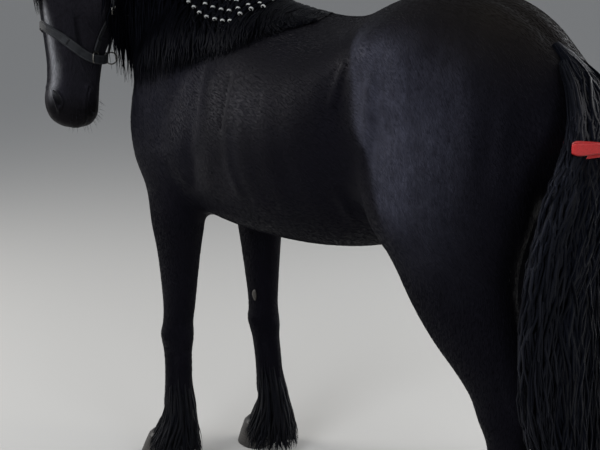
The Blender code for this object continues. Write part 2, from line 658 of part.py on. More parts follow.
# ---------------------------------------------------------------- tail
TAIL = [  # z, x, y, half across, half fore-and-aft
    (1.500, 0.000, 1.255, 0.022, 0.020), (1.465, 0.003, 1.314, 0.050, 0.034), (1.415, 0.016, 1.366, 0.078, 0.042),
    (1.340, 0.034, 1.398, 0.104, 0.046), (1.270, 0.050, 1.406, 0.120, 0.047), (1.180, 0.064, 1.406, 0.136, 0.050),
    (1.040, 0.082, 1.402, 0.148, 0.055), (0.860, 0.094, 1.392, 0.148, 0.058), (0.640, 0.088, 1.394, 0.136, 0.058),
    (0.420, 0.074, 1.410, 0.116, 0.055), (0.240, 0.060, 1.426, 0.084, 0.046), (0.150, 0.054, 1.432, 0.050, 0.032),
    (0.110, 0.052, 1.434, 0.020, 0.014)]


def tail_rows(grow=0.0):
    rows = []
    pts = arr(*[(t[1], t[2], t[0]) for t in TAIL])
    tangent = unit(np.gradient(pts, axis=0))
    for p, t, row in zip(pts, tangent, TAIL):
        back = unit(np.cross(arr(1, 0, 0), t))
        if back[1] < 0:
            back = -back
        rows.append([*p, 1, 0, 0, *back, row[3] + grow, row[4] + grow, row[4] + grow, 2.1, 2.1])
    return rows


tail = turned("tail", tail_rows(), 16)
fitted(tail, body_fit)
band_low, band_high = 1.240, 1.276
bm = bmesh.new()
loft(bm, tail_rows(0.007), 16, 1)
ribbon = mesh_object("tail_ribbon", bm, tri=True)
slab = prism("slab", [(1.2, band_low), (1.7, band_low), (1.7, band_high), (1.2, band_high)], -0.5, 0.5, side_view)
boolean(ribbon, slab, "INTERSECT")
bpy.data.objects.remove(slab, do_unlink=True)
tail_fit = swollen(tail, "tail_fit", GAP)
boolean(ribbon, tail_fit, "DIFFERENCE")
fitted(ribbon, body_fit)

# ---------------------------------------------------------------- mane and forelock
MANE_STATIONS = 11


def neck_place(t, angle, out):
    """A place on the neck: t from withers (0) to poll (1), angle from the crest (0)
    down the left side (positive, degrees), out from the skin."""
    dense_rows = dense(neck_rows(), 8)
    k = t * (len(dense_rows) - 1)
    i = min(int(k), len(dense_rows) - 2)
    row = dense_rows[i] * (1 - (k - i)) + dense_rows[i + 1] * (k - i)
    c, ax, up = row[0:3], unit(row[3:6]), row[6:9]
    up = unit(up - ax * np.dot(up, ax))
    a = math.radians(90 + angle)
    co, si = math.cos(a), math.sin(a)
    e = 2 / (row[12] if si >= 0 else row[13])
    x = (row[9]) * math.copysign(abs(co) ** e, co)
    y = (row[10] if si >= 0 else row[11]) * math.copysign(abs(si) ** e, si)
    p = c + x * ax + y * up
    return p + out * unit(x / row[9] ** 2 * ax + y / row[10] ** 2 * up + 1e-9)


MANE_END = 0.86                # where along the neck (0 withers, 1 poll) the hanging hair ends
MANE_STEPS = 6
MANE_SIDE = unit(arr(0.85, 0.53, 0))     # level, out from the neck's hollow side; every section lies along it


def mane_edge(t):
    """The height of the mane's hanging edge above the floor."""
    return float(np.interp(t, [0.0, 0.20, 0.50, 0.75, 1.0], [1.470, 1.410, 1.335, 1.275, 1.250]))


def crest(t):
    rows = dense(neck_rows(), 8)
    k = min(max(t, 0.0), 0.999) * (len(rows) - 1)
    i = int(k)
    row = rows[i] * (1 - (k - i)) + rows[i + 1] * (k - i)
    ax, up = unit(row[3:6]), row[6:9]
    return row[0:3] + unit(up - ax * np.dot(up, ax)) * row[10]


def mane_bed(t):
    """Where the hair lies at t, from just over the crest down the left side: places, outward ways."""
    top = crest(t)
    places, ways = [], []
    for out, lean in ((-0.032, -0.5), (0.0, 0.1), (0.026, 0.7)):
        o = top + out * MANE_SIDE
        hit, nrm, _, _ = surface.ray_cast(Vector((o[0], o[1], top[2] + 0.10)), Vector((0, 0, -1)), 0.30)
        places.append(arr(*hit) if hit is not None else o)
        ways.append(unit(lean * MANE_SIDE + arr(0, 0, 1)))
    start = places[-1][2] - 0.030
    off, last = 0.026, places[-1][2]
    for k in range(MANE_STEPS):
        z = start + (mane_edge(t) - start) * k / (MANE_STEPS - 1)
        o = arr(top[0], top[1], z)
        hit, nrm, _, _ = surface.ray_cast(Vector(o + 0.30 * MANE_SIDE), Vector(-MANE_SIDE), 0.35)
        found = float(np.dot(arr(*hit) - o, MANE_SIDE)) if hit is not None else off
        off = max(found, off - 0.12 * (last - z))       # the hair hangs plumb, it doesn't tuck under
        off = min(off, 0.20 + 0.06 * (start - z))
        last = z
        places.append(o + off * MANE_SIDE)
        ways.append(MANE_SIDE)
    return places, ways


def mane_thick(u):
    """The hair's thickness from the crest (0) to its hanging edge (1)."""
    return 0.018 + 0.010 * math.sin(math.pi * min(u * 1.5, 1)) + 0.004 * u


def mane_section(t):
    places, ways = mane_bed(t)
    n = len(places) - 1
    outer = [p + mane_thick(k / n) * d for k, (p, d) in enumerate(zip(places, ways))]
    inner = [p - 0.014 * d for p, d in zip(places, ways)]
    return outer + inner[::-1]


surface = BVHTree.FromObject(body_fit, bpy.context.evaluated_depsgraph_get())
bm = bmesh.new()
add_loft(bm, [np.array(mane_section(0.02 + (MANE_END - 0.02) * k / (MANE_STATIONS - 1))) for k in range(MANE_STATIONS)])
mane = mesh_object("mane", bm, tri=True)
fitted(mane, body_fit)
mane_fit = swollen(mane, "mane_fit", GAP)

BANDS = 8                       # pale bands where the mane's net of plaits crosses


def band_place(k):
    t = 0.12 + 0.70 * k / (BANDS - 1)
    u = 0.30 if k % 2 else 0.44
    return t, u


hair_surface = BVHTree.FromObject(mane_fit, bpy.context.evaluated_depsgraph_get())


def over_mane(t, u, out):
    """A place on the hair's own surface, lifted off it."""
    places, ways = mane_bed(t)
    k = u * (len(places) - 1)
    i = int(k)
    p = places[i] * (1 - (k - i)) + places[i + 1] * (k - i)
    d = unit(ways[i] * (1 - (k - i)) + ways[i + 1] * (k - i))
    hit, nrm, _, _ = hair_surface.ray_cast(Vector(p + 0.06 * d), Vector(-d), 0.10)
    return (arr(*hit) if hit is not None else p + mane_thick(u) * d) + out * d


bm = bmesh.new()
cord = []
for k in range(BANDS - 1):
    (t0, u0), (t1, u1) = band_place(k), band_place(k + 1)
    cord += [over_mane(t0 + (t1 - t0) * v, u0 + (u1 - u0) * v, 0.0085) for v in (0.0, 0.2, 0.4, 0.6, 0.8)]
cord.append(over_mane(*band_place(BANDS - 1), 0.0085))
line = arr(*cord)
tangent = unit(np.gradient(line, axis=0))
rings = []
for p, t in zip(line, tangent):
    a = unit(np.cross(t, arr(0.2, 0.3, 1)))
    rings.append(ring(np.array([*p, *a, *np.cross(a, t), 0.0022, 0.0022, 0.0022, 2, 2]), 3))
add_loft(bm, rings)
bands = mesh_object("mane_bands", bm, tri=True)
for k in range(BANDS):
    bpy.ops.mesh.primitive_ico_sphere_add(subdivisions=1, radius=0.0068, location=over_mane(*band_place(k), 0.0070))
    bead = bpy.context.object
    boolean(bands, bead, "UNION")
    bpy.data.objects.remove(bead, do_unlink=True)
fitted(bands, mane_fit)

bm = bmesh.new()
rows = []
for s, f, w, th in ((-0.060, 0.010, 0.020, 0.010), (-0.035, 0.045, 0.030, 0.014), (0.010, 0.066, 0.036, 0.016), (0.070, 0.086, 0.036, 0.016),
                    (0.130, 0.098, 0.030, 0.014), (0.190, 0.102, 0.020, 0.011), (0.235, 0.101, 0.007, 0.007)):
    rows.append([*on_head(s, f, 0.006), *LEFT, *FRONT, w, th, th, 2, 2])
loft(bm, rows, 12, 1)
forelock = mesh_object("forelock", bm, tri=True)
fitted(forelock, body_fit, mane_fit)
for side in ("left", "right"):
    ear = parts["ear_" + side]
    ear_fit = swollen(ear, "ear_fit", GAP)
    fitted(forelock, ear_fit)
    fitted(mane, ear_fit)
    bpy.data.objects.remove(ear_fit, do_unlink=True)

# ---------------------------------------------------------------- halter
STRAP_WIDTH, STRAP_THICK = 0.027, 0.0032


def head_reach(s, angle):
    """How far the head's own section reaches from its axis at s, in that direction."""
    rows = np.array(head_rows())
    at = (rows[:, :3] - arr(*POLL)) @ AXIS
    w, f, r = (np.interp(s, at, rows[:, k]) for k in (9, 10, 11))
    a = math.radians(angle)
    depth = f if math.cos(a) > 0 else r
    return 1 / math.hypot(math.cos(a) / depth, math.sin(a) / w)


def head_hit(s, angle, lift):
    """The place on the head's skin seen from its axis at s, turned by angle degrees from
    the face (0) towards the head's left (90) and the jaw (180), lifted off it."""
    a = math.radians(angle)
    d = math.cos(a) * FRONT + math.sin(a) * LEFT
    o = on_head(s, 0, 0)
    reach = head_reach(s, angle)
    hit, nrm, _, _ = surface.ray_cast(Vector(o + d * (reach - 0.035)), Vector(d), 0.075)
    if hit is None:
        return o + (reach + lift) * d, d
    return arr(*hit) + lift * d, d


def strap(bm, places, closed, width=STRAP_WIDTH, thick=STRAP_THICK):
    p = arr(*[q[0] for q in places])
    out = arr(*[q[1] for q in places])
    if closed:
        for _ in range(2):
            p = 0.5 * p + 0.25 * (np.roll(p, 1, 0) + np.roll(p, -1, 0))
        tangent = unit(np.roll(p, -1, 0) - np.roll(p, 1, 0))
    else:
        tangent = unit(np.gradient(p, axis=0))
    side = unit(np.cross(tangent, out))
    out = unit(np.cross(side, tangent))
    rings = []
    for k in range(len(p)):
        rings.append([p[k] + side[k] * width * a / 2 + out[k] * thick * b for a, b in ((-1, 0), (1, 0), (1, 1), (-1, 1))])
    if closed:
        verts = [[bm.verts.new(q) for q in r] for r in rings]
        for a, b in zip(verts, verts[1:] + verts[:1]):
            for k in range(4):
                bm.faces.new((a[k], a[(k + 1) % 4], b[(k + 1) % 4], b[k]))
    else:
        add_loft(bm, rings)


def noseband(n=18):
    out = []
    for k in range(n):
        a = 360 * k / n
        s = 0.326 + 0.100 * (0.5 - 0.5 * math.cos(math.radians(a))) + 0.026 * abs(math.sin(math.radians(a)))
        out.append(head_hit(s, a, 0.0045 + 0.012 * (0.5 - 0.5 * math.cos(math.radians(a)))))
    return out


def crown(n=6, over=7):
    """Up the left cheek, over the poll behind the ears and down the right cheek."""
    half = []
    for k in range(n):
        v = k / (n - 1)
        half.append((0.412 - 0.350 * v, float(np.interp(v, (0.0, 0.32, 0.60, 1.0), (135, 140, 134, 119)))))
    left = [head_hit(s, a, 0.004) for s, a in half]
    right = [head_hit(s, -a, 0.004) for s, a in reversed(half)]
    top = []
    o = on_head(0.040, -0.042, 0)
    for k in range(over):
        a = math.radians(74 - 148 * k / (over - 1))
        d = unit(-math.cos(a) * AXIS + math.sin(a) * LEFT)
        hit, nrm, _, _ = surface.ray_cast(Vector(o), Vector(d), 0.20)
        top.append((arr(*hit) + 0.004 * d, d))
    return left + top + right


def throat_strap(n=10):
    out = []
    for k in range(n):
        u = -1 + 2 * k / (n - 1)
        a = 180 - 51 * u
        s = 0.150 + 0.100 * math.cos(u * math.pi / 2)
        out.append(head_hit(s, a, 0.004))
    return out


def jaw_strap(n=5):
    return [head_hit(0.250 + (0.424 - 0.250) * k / (n - 1), 180, 0.005 + 0.010 * k / (n - 1)) for k in range(n)]


pieces = []
for name, places, closed, width in (("noseband", noseband(), True, 0.030), ("crown", crown(), False, STRAP_WIDTH),
                                    ("throat", throat_strap(), False, 0.024), ("jaw", jaw_strap(), False, 0.022)):
    bm = bmesh.new()
    strap(bm, places, closed, width)
    pieces.append(mesh_object("strap_" + name, bm, tri=True))
halter = pieces[0]
for other in pieces[1:]:
    boolean(halter, other, "UNION")
    bpy.data.objects.remove(other, do_unlink=True)
halter.name = "halter"
largest(halter)
fitted(halter, body_fit, mane_fit)
for side in ("left", "right"):
    ear_fit = swollen(parts["ear_" + side], "ear_fit", GAP)
    fitted(halter, ear_fit)
    bpy.data.objects.remove(ear_fit, do_unlink=True)

for name in ("body_fit", "tail_fit", "mane_fit"):
    bpy.data.objects.remove(bpy.data.objects[name], do_unlink=True)

# ---------------------------------------------------------------- finish
for name, obj in parts.items():
    colour, rough = BLACK, 0.45
    if name.startswith(("mane", "tail", "fore" + "lock", "feather")):
        colour, rough = HAIR, 0.5
    if name.startswith("hoof"):
        colour, rough = HORN, 0.55
    if name.startswith("eye"):
        colour, rough = (0.02, 0.012, 0.008), 0.08
    if name == "halter":
        colour, rough = (0.03, 0.032, 0.036), 0.5
    if name == "mane_bands":
        colour, rough = (0.75, 0.75, 0.72), 0.4
    if name == "tail_ribbon":
        colour, rough = (0.62, 0.02, 0.02), 0.6
    material(obj, colour, rough)
    obj.name = name
    if not name.startswith("eye"):
        put(obj.data, coords(obj.data) + arr(*ORIGIN))
    else:
        obj.location = Vector(arr(*obj.location) + arr(*ORIGIN))
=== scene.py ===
# The picture model of a standing Friesian horse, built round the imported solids.
# Working coordinates: metres, +Z up, the horse faces -Y and its left side is +X; the shift
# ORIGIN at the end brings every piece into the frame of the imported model.
import bpy
import bmesh
import math
import numpy as np
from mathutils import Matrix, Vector
from mathutils.bvhtree import BVHTree


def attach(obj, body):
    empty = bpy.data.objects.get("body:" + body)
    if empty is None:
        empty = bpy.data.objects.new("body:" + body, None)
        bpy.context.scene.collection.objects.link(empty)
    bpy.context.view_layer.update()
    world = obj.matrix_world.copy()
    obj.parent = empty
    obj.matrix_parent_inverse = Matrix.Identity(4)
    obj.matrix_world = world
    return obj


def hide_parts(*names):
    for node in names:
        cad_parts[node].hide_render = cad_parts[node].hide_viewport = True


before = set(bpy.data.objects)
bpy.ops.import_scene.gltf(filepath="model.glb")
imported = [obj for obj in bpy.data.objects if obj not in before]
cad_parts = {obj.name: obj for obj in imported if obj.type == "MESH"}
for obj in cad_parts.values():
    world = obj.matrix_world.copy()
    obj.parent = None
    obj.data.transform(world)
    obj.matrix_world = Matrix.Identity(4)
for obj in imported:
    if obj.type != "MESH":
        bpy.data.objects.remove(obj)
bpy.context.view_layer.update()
SEED = 20
rng = np.random.default_rng(SEED)

# ---------------------------------------------------------------- driving sizes, as in the solids
WITHERS = 1.62
GAP = 0.0004
VOXEL = 0.012
ORIGIN = (-0.03988, -0.50019, 0.0)
FORE_X, HIND_X = 0.152, 0.172
FORE_STEP = (-0.065, 0.085)
HIND_STEP = (0.035, -0.030)
HEAD_TURN = math.radians(72)
HEAD_NOD = math.radians(3)
POLL = (0.275, -0.352, 1.783)
HEAD_LENGTH = 0.662

COLLECTION = bpy.data.collections.new("friesian_horse")
bpy.context.scene.collection.children.link(COLLECTION)


# ---------------------------------------------------------------- camera, floor and light
def camera():
    """The photograph's viewpoint: behind the horse, to its left, a little above its back."""
    place, yaw, pitch, focal_px = (2.4999, 2.8590, 1.7777), 3.9245, 0.2497, 1192.672
    data = bpy.data.cameras.new("camera")
    data.sensor_fit = "HORIZONTAL"
    data.sensor_width = 36.0
    data.lens = 36.0 * focal_px / 600
    data.clip_start, data.clip_end = 0.05, 60
    obj = bpy.data.objects.new("camera", data)
    bpy.context.scene.collection.objects.link(obj)
    look = Vector((math.cos(yaw) * math.cos(pitch), math.sin(yaw) * math.cos(pitch), -math.sin(pitch)))
    obj.rotation_mode = "QUATERNION"
    obj.rotation_quaternion = look.to_track_quat("-Z", "Y")
    obj.location = Vector(place) + Vector(ORIGIN)
    bpy.context.scene.camera = obj
    return obj


def area_light(name, place, target, size, power, colour, size_y=None):
    data = bpy.data.lights.new(name, "AREA")
    data.shape = "RECTANGLE"
    data.size, data.size_y = size, size_y or size
    data.energy = power
    data.color = colour
    obj = bpy.data.objects.new(name, data)
    bpy.context.scene.collection.objects.link(obj)
    obj.location = Vector(place)
    obj.rotation_mode = "QUATERNION"
    obj.rotation_quaternion = (Vector(target) - Vector(place)).to_track_quat("-Z", "Y")
    return obj


camera()
floor_mesh = bpy.data.meshes.new("floor")
bm = bmesh.new()
bmesh.ops.create_grid(bm, x_segments=2, y_segments=2, size=60)
bm.to_mesh(floor_mesh)
bm.free()
floor = bpy.data.objects.new("floor", floor_mesh)
floor.location.z = -0.001
bpy.context.scene.collection.objects.link(floor)
floor_paint = bpy.data.materials.new("floor")
floor_paint.use_nodes = True
floor_paint.node_tree.nodes["Principled BSDF"].inputs["Base Color"].default_value = (0.60, 0.59, 0.57, 1)
floor_paint.node_tree.nodes["Principled BSDF"].inputs["Roughness"].default_value = 0.85
floor_mesh.materials.append(floor_paint)

world = bpy.data.worlds.new("studio")
bpy.context.scene.world = world
world.use_nodes = True
world.node_tree.nodes["Background"].inputs["Color"].default_value = (0.80, 0.84, 0.90, 1)
world.node_tree.nodes["Background"].inputs["Strength"].default_value = 0.34
area_light("key", (3.9, 0.5, 3.0), (0.1, 0.4, 1.1), 2.2, 92, (0.93, 0.96, 1.0))
area_light("front", (2.0, -4.0, 2.4), (0.0, -0.6, 1.3), 2.0, 105, (1.0, 0.98, 0.95))
area_light("back", (-3.4, 2.6, 3.0), (0.0, 0.3, 1.2), 2.4, 80, (1.0, 0.96, 0.9))
area_light("right", (-3.8, 0.3, 1.5), (0.0, 0.3, 1.1), 2.2, 62, (0.96, 0.98, 1.0))
area_light("rear", (1.2, 4.4, 2.2), (0.1, 0.9, 1.0), 1.8, 34, (0.90, 0.95, 1.0))
bpy.context.scene.view_settings.view_transform = "Standard"
bpy.context.scene.view_settings.look = "None"


# ---------------------------------------------------------------- small helpers
def arr(*v):
    return np.array(v, float)


def unit(v):
    return v / np.maximum(np.linalg.norm(v, axis=-1, keepdims=True), 1e-12)


def smoothstep(a, b, x):
    t = np.clip((x - a) / (b - a), 0, 1)
    return t * t * (3 - 2 * t)


def dense(rows, per):
    """Catmull-Rom rows between the given rows, per of them to each span."""
    rows = np.asarray(rows, float)
    ext = np.vstack([2 * rows[0] - rows[1], rows, 2 * rows[-1] - rows[-2]])
    out = []
    for i in range(len(rows) - 1):
        p0, p1, p2, p3 = ext[i:i + 4]
        for k in range(per):
            t = k / per
            out.append(0.5 * (2 * p1 + (p2 - p0) * t + (2 * p0 - 5 * p1 + 4 * p2 - p3) * t * t
                              + (3 * p1 - p0 - 3 * p2 + p3) * t ** 3))
    out.append(rows[-1])
    return np.array(out)


def ring(row, n):
    """One closed cross-section.  row: centre 3, across 3, up 3, half width, height up,
    height down, roundness up, roundness down (2 is an ellipse, more is boxier)."""
    c, ax, up = row[0:3], unit(row[3:6]), row[6:9]
    up = unit(up - ax * np.dot(up, ax))
    w, hu, hd, nu, nd = row[9:14]
    a = np.arange(n) * 2 * math.pi / n
    co, si = np.cos(a), np.sin(a)
    e = 2 / np.where(si >= 0, nu, nd)
    x = w * np.sign(co) * np.abs(co) ** e
    y = np.where(si >= 0, hu, hd) * np.sign(si) * np.abs(si) ** e
    return c + x[:, None] * ax + y[:, None] * up


def add_loft(bm, rings):
    """Skin a list of rings of equal count, closed at both ends."""
    verts = [[bm.verts.new(p) for p in r] for r in rings]
    n = len(verts[0])
    for a, b in zip(verts, verts[1:]):
        for k in range(n):
            bm.faces.new((a[k], a[(k + 1) % n], b[(k + 1) % n], b[k]))
    bm.faces.new(list(reversed(verts[0])))
    bm.faces.new(verts[-1])


def loft(bm, rows, n=28, per=4):
    add_loft(bm, [ring(r, n) for r in dense(rows, per)])


def mesh_object(name, bm, tri=False):
    bmesh.ops.recalc_face_normals(bm, faces=bm.faces)
    if tri:
        bmesh.ops.triangulate(bm, faces=bm.faces)
    mesh = bpy.data.meshes.new(name)
    bm.to_mesh(mesh)
    bm.free()
    obj = bpy.data.objects.new(name, mesh)
    COLLECTION.objects.link(obj)
    return obj


def baked(obj):
    """Apply the object's modifiers to its mesh."""
    bpy.context.view_layer.update()
    graph = bpy.context.evaluated_depsgraph_get()
    mesh = bpy.data.meshes.new_from_object(obj.evaluated_get(graph))
    obj.modifiers.clear()
    obj.data = mesh
    return obj


def coords(mesh):
    p = np.empty(len(mesh.vertices) * 3, np.float32)
    mesh.vertices.foreach_get("co", p)
    return p.reshape(-1, 3).astype(float)


def normals(mesh):
    p = np.empty(len(mesh.vertices) * 3, np.float32)
    mesh.vertex_normals.foreach_get("vector", p)
    return p.reshape(-1, 3).astype(float)


def put(mesh, p):
    mesh.vertices.foreach_set("co", np.ascontiguousarray(p, np.float32).ravel())
    mesh.update()


def relax(p, edges, weight, rounds, taubin=True):
    """Smooth points along the mesh's edges; weight says how much for each point."""
    n = len(p)
    deg = np.bincount(edges.ravel(), minlength=n).astype(float)
    deg = np.maximum(deg, 1)[:, None]
    w = np.asarray(weight, float).reshape(-1, 1)
    for k in range(rounds):
        for f in ((0.5, -0.52) if taubin else (0.5,)):
            s = np.zeros_like(p)
            for ax in range(3):
                s[:, ax] = (np.bincount(edges[:, 0], p[edges[:, 1], ax], n)
                            + np.bincount(edges[:, 1], p[edges[:, 0], ax], n))
            p = p + f * w * (s / deg - p)
    return p


# ---------------------------------------------------------------- the body's sections
def trunk_rows():
    # y, top z, bottom z, half width, height of the widest line, roundness up, down
    table = [
        (-0.300, 1.205, 1.085, 0.045, 1.145, 2.0, 2.0),   # point of the breast
        (-0.270, 1.300, 1.020, 0.102, 1.150, 2.0, 2.1),
        (-0.215, 1.410, 0.965, 0.146, 1.150, 2.0, 2.2),   # points of the shoulders
        (-0.140, 1.520, 0.925, 0.180, 1.160, 1.9, 2.2),
        (-0.060, 1.600, 0.895, 0.206, 1.150, 1.7, 2.2),
        (0.040, 1.622, 0.872, 0.236, 1.120, 1.6, 2.2),    # withers
        (0.150, 1.604, 0.858, 0.256, 1.110, 1.65, 2.2),   # girth
        (0.280, 1.562, 0.850, 0.282, 1.125, 1.85, 2.2),
        (0.420, 1.532, 0.850, 0.303, 1.150, 2.0, 2.2),    # the barrel
        (0.560, 1.520, 0.858, 0.311, 1.170, 2.1, 2.15),
        (0.700, 1.540, 0.880, 0.303, 1.215, 2.2, 2.1),    # loins
        (0.820, 1.586, 0.918, 0.290, 1.290, 2.4, 2.0),    # flank
        (0.940, 1.616, 0.968, 0.290, 1.360, 2.6, 2.0),    # points of the hips
        (1.050, 1.602, 0.995, 0.280, 1.340, 2.4, 2.0),    # top of the croup
        (1.150, 1.562, 1.015, 0.258, 1.300, 2.2, 2.0),
        (1.240, 1.500, 1.045, 0.222, 1.260, 2.0, 2.0),
        (1.310, 1.435, 1.095, 0.170, 1.245, 2.0, 2.0),    # root of the tail
        (1.352, 1.345, 1.155, 0.100, 1.245, 2.0, 2.0),
        (1.370, 1.285, 1.210, 0.040, 1.248, 2.0, 2.0),    # buttocks
    ]
    return [[0, y, zw, 1, 0, 0, 0, 0, 1, w, zt - zw, zw - zb, nu, nd]
            for y, zt, zb, w, zw, nu, nd in table]


def neck_rows():
    # crest point, throat point, half width
    table = [
        ((0.000, 0.110, 1.555), (0.000, -0.235, 1.010), 0.148),
        ((0.000, -0.015, 1.648), (0.000, -0.325, 1.180), 0.138),
        ((-0.008, -0.112, 1.745), (0.020, -0.372, 1.320), 0.120),
        ((0.004, -0.195, 1.830), (0.050, -0.372, 1.440), 0.104),
        ((0.050, -0.262, 1.884), (0.090, -0.350, 1.540), 0.094),
        ((0.120, -0.304, 1.900), (0.132, -0.332, 1.610), 0.088),
        ((0.200, -0.328, 1.880), (0.185, -0.325, 1.660), 0.080),
    ]
    crest = np.array([t[0] for t in table])
    throat = np.array([t[1] for t in table])
    centre = crest * 0.45 + throat * 0.55
    tangent = unit(np.gradient(centre, axis=0))
    rows = []
    for i, t in enumerate(table):
        up = crest[i] - centre[i]
        across = unit(np.cross(tangent[i], unit(up)))
        rows.append([*centre[i], *across, *unit(up), t[2], np.linalg.norm(up),
                     np.linalg.norm(throat[i] - centre[i]), 1.75, 1.95])
    return rows


FACE = arr(math.sin(HEAD_TURN), -math.cos(HEAD_TURN), 0)      # the way the face looks
LEFT = arr(math.cos(HEAD_TURN), math.sin(HEAD_TURN), 0)       # the head's own left
AXIS = math.sin(HEAD_NOD) * FACE - math.cos(HEAD_NOD) * arr(0, 0, 1)   # poll to muzzle
FRONT = unit(math.cos(HEAD_NOD) * FACE + math.sin(HEAD_NOD) * arr(0, 0, 1))


def on_head(s, f, x):
    """The place s down the head's axis, f out towards the face and x to its left."""
    return arr(*POLL) + s * AXIS + f * FRONT + x * LEFT


def head_rows():
    # s down the axis, depth to the face, depth to the jaw, half width, roundness face, jaw
    table = [
        (-0.045, 0.018, 0.040, 0.036, 2.0, 2.0),
        (-0.020, 0.048, 0.075, 0.058, 2.0, 2.0),
        (0.030, 0.074, 0.112, 0.074, 2.2, 2.0),
        (0.085, 0.094, 0.142, 0.087, 2.3, 2.0),
        (0.145, 0.107, 0.166, 0.097, 2.4, 2.0),    # forehead
        (0.200, 0.111, 0.180, 0.100, 2.5, 2.0),    # eyes
        (0.255, 0.107, 0.178, 0.093, 2.5, 2.0),    # cheeks
        (0.310, 0.101, 0.154, 0.078, 2.5, 2.0),
        (0.370, 0.092, 0.122, 0.065, 2.5, 2.1),
        (0.430, 0.084, 0.099, 0.058, 2.4, 2.1),
        (0.490, 0.083, 0.089, 0.058, 2.3, 2.1),
        (0.540, 0.088, 0.086, 0.065, 2.2, 2.1),    # nostrils
        (0.580, 0.084, 0.083, 0.063, 2.1, 2.1),
        (0.612, 0.064, 0.068, 0.050, 2.0, 2.0),    # lips
        (0.632, 0.026, 0.038, 0.026, 2.0, 2.0),
    ]
    k = HEAD_LENGTH / 0.640
    return [[*on_head(s * k, 0, 0), *LEFT, *FRONT, w, f, r, nf, nj] for s, f, r, w, nf, nj in table]


def leg_rows(table, x_sign, step):
    rows = []
    for z, y, x, rx, ry, tilt in table:
        move = step * (1 - min(z, 1.05) / 1.05) / (1 - 0.08 / 1.05)
        a = math.radians(tilt)
        rows.append([x_sign * x, y + move, z, 1, 0, 0, 0, math.cos(a), math.sin(a),
                     rx, ry, ry, 2.1, 2.1])
    return rows


FORE = [  # z, y, x, half across, half fore-and-aft, tilt of the section
    (1.500, 0.020, 0.095, 0.055, 0.090, 0),
    (1.380, -0.025, 0.140, 0.078, 0.150, 0),
    (1.260, -0.040, 0.148, 0.085, 0.158, 0),
    (1.150, -0.052, 0.150, 0.087, 0.156, 0),     # point of the shoulder
    (1.050, -0.040, 0.157, 0.088, 0.150, 0),
    (0.960, -0.012, 0.159, 0.081, 0.122, 0),     # elbow
    (0.880, 0.000, 0.161, 0.075, 0.102, 0),
    (0.780, 0.000, 0.158, 0.063, 0.084, 0),      # forearm
    (0.680, 0.000, 0.155, 0.055, 0.071, 0),
    (0.580, 0.000, FORE_X, 0.049, 0.059, 0),
    (0.515, -0.003, FORE_X, 0.047, 0.054, 0),
    (0.460, -0.006, FORE_X, 0.052, 0.055, 0),    # knee
    (0.410, -0.002, FORE_X, 0.046, 0.050, 0),
    (0.350, 0.003, FORE_X, 0.043, 0.049, 0),     # cannon
    (0.280, 0.004, FORE_X, 0.042, 0.050, 0),
    (0.220, 0.004, FORE_X, 0.043, 0.054, 0),     # fetlock
    (0.170, -0.012, FORE_X, 0.035, 0.041, -25),
    (0.120, -0.040, FORE_X, 0.037, 0.043, -30),  # pastern
    (0.060, -0.072, FORE_X, 0.042, 0.044, -10),
]
HIND = [
    (1.450, 1.000, 0.125, 0.105, 0.160, 0),
    (1.320, 1.020, 0.150, 0.124, 0.240, 0),
    (1.200, 1.032, 0.161, 0.126, 0.282, 0),      # thigh
    (1.080, 1.052, 0.166, 0.121, 0.262, 0),
    (0.980, 1.080, 0.170, 0.106, 0.208, 5),      # stifle
    (0.880, 1.116, 0.172, 0.088, 0.162, 16),
    (0.785, 1.156, 0.173, 0.076, 0.132, 24),     # gaskin
    (0.705, 1.200, 0.172, 0.064, 0.106, 24),
    (0.640, 1.232, HIND_X, 0.055, 0.090, 18),
    (0.580, 1.248, HIND_X, 0.053, 0.080, 8),     # hock
    (0.520, 1.258, HIND_X, 0.049, 0.063, 3),
    (0.455, 1.260, HIND_X, 0.042, 0.052, 0),
    (0.380, 1.260, HIND_X, 0.038, 0.047, 0),     # cannon
    (0.290, 1.260, HIND_X, 0.038, 0.048, 0),
    (0.220, 1.258, HIND_X, 0.039, 0.049, 0),     # fetlock
    (0.170, 1.242, HIND_X, 0.036, 0.043, -22),
    (0.120, 1.216, HIND_X, 0.037, 0.044, -28),   # pastern
    (0.060, 1.188, HIND_X, 0.042, 0.044, -10),
]


def whole_body():
    """Trunk, neck, head and legs as one smooth closed surface of even quads."""
    bm = bmesh.new()
    loft(bm, trunk_rows(), 40)
    loft(bm, neck_rows(), 32, 6)
    loft(bm, head_rows(), 32)
    for sign, fore, hind in ((1, FORE_STEP[0], HIND_STEP[0]), (-1, FORE_STEP[1], HIND_STEP[1])):
        loft(bm, leg_rows(FORE, sign, fore), 28)
        loft(bm, leg_rows(HIND, sign, hind), 28)
    body = mesh_object("body", bm)
    mod = body.modifiers.new("join", "REMESH")
    mod.mode = "VOXEL"
    mod.voxel_size = VOXEL
    baked(body)
    p = coords(body.data)
    edges = np.empty(len(body.data.edges) * 2, np.int32)
    body.data.edges.foreach_get("vertices", edges)
    edges = edges.reshape(-1, 2)
    p = relax(p, edges, np.ones(len(p)), 4)
    p = relax(p, edges, blend_weight(p), 26, taubin=False)
    put(body.data, p)
    for shape in MUSCLES:
        p = coords(body.data)
        nrm = normals(body.data)
        put(body.data, shape(p, nrm))
    p = relax(coords(body.data), edges, np.ones(len(p)), 3)
    put(body.data, p)
    return body


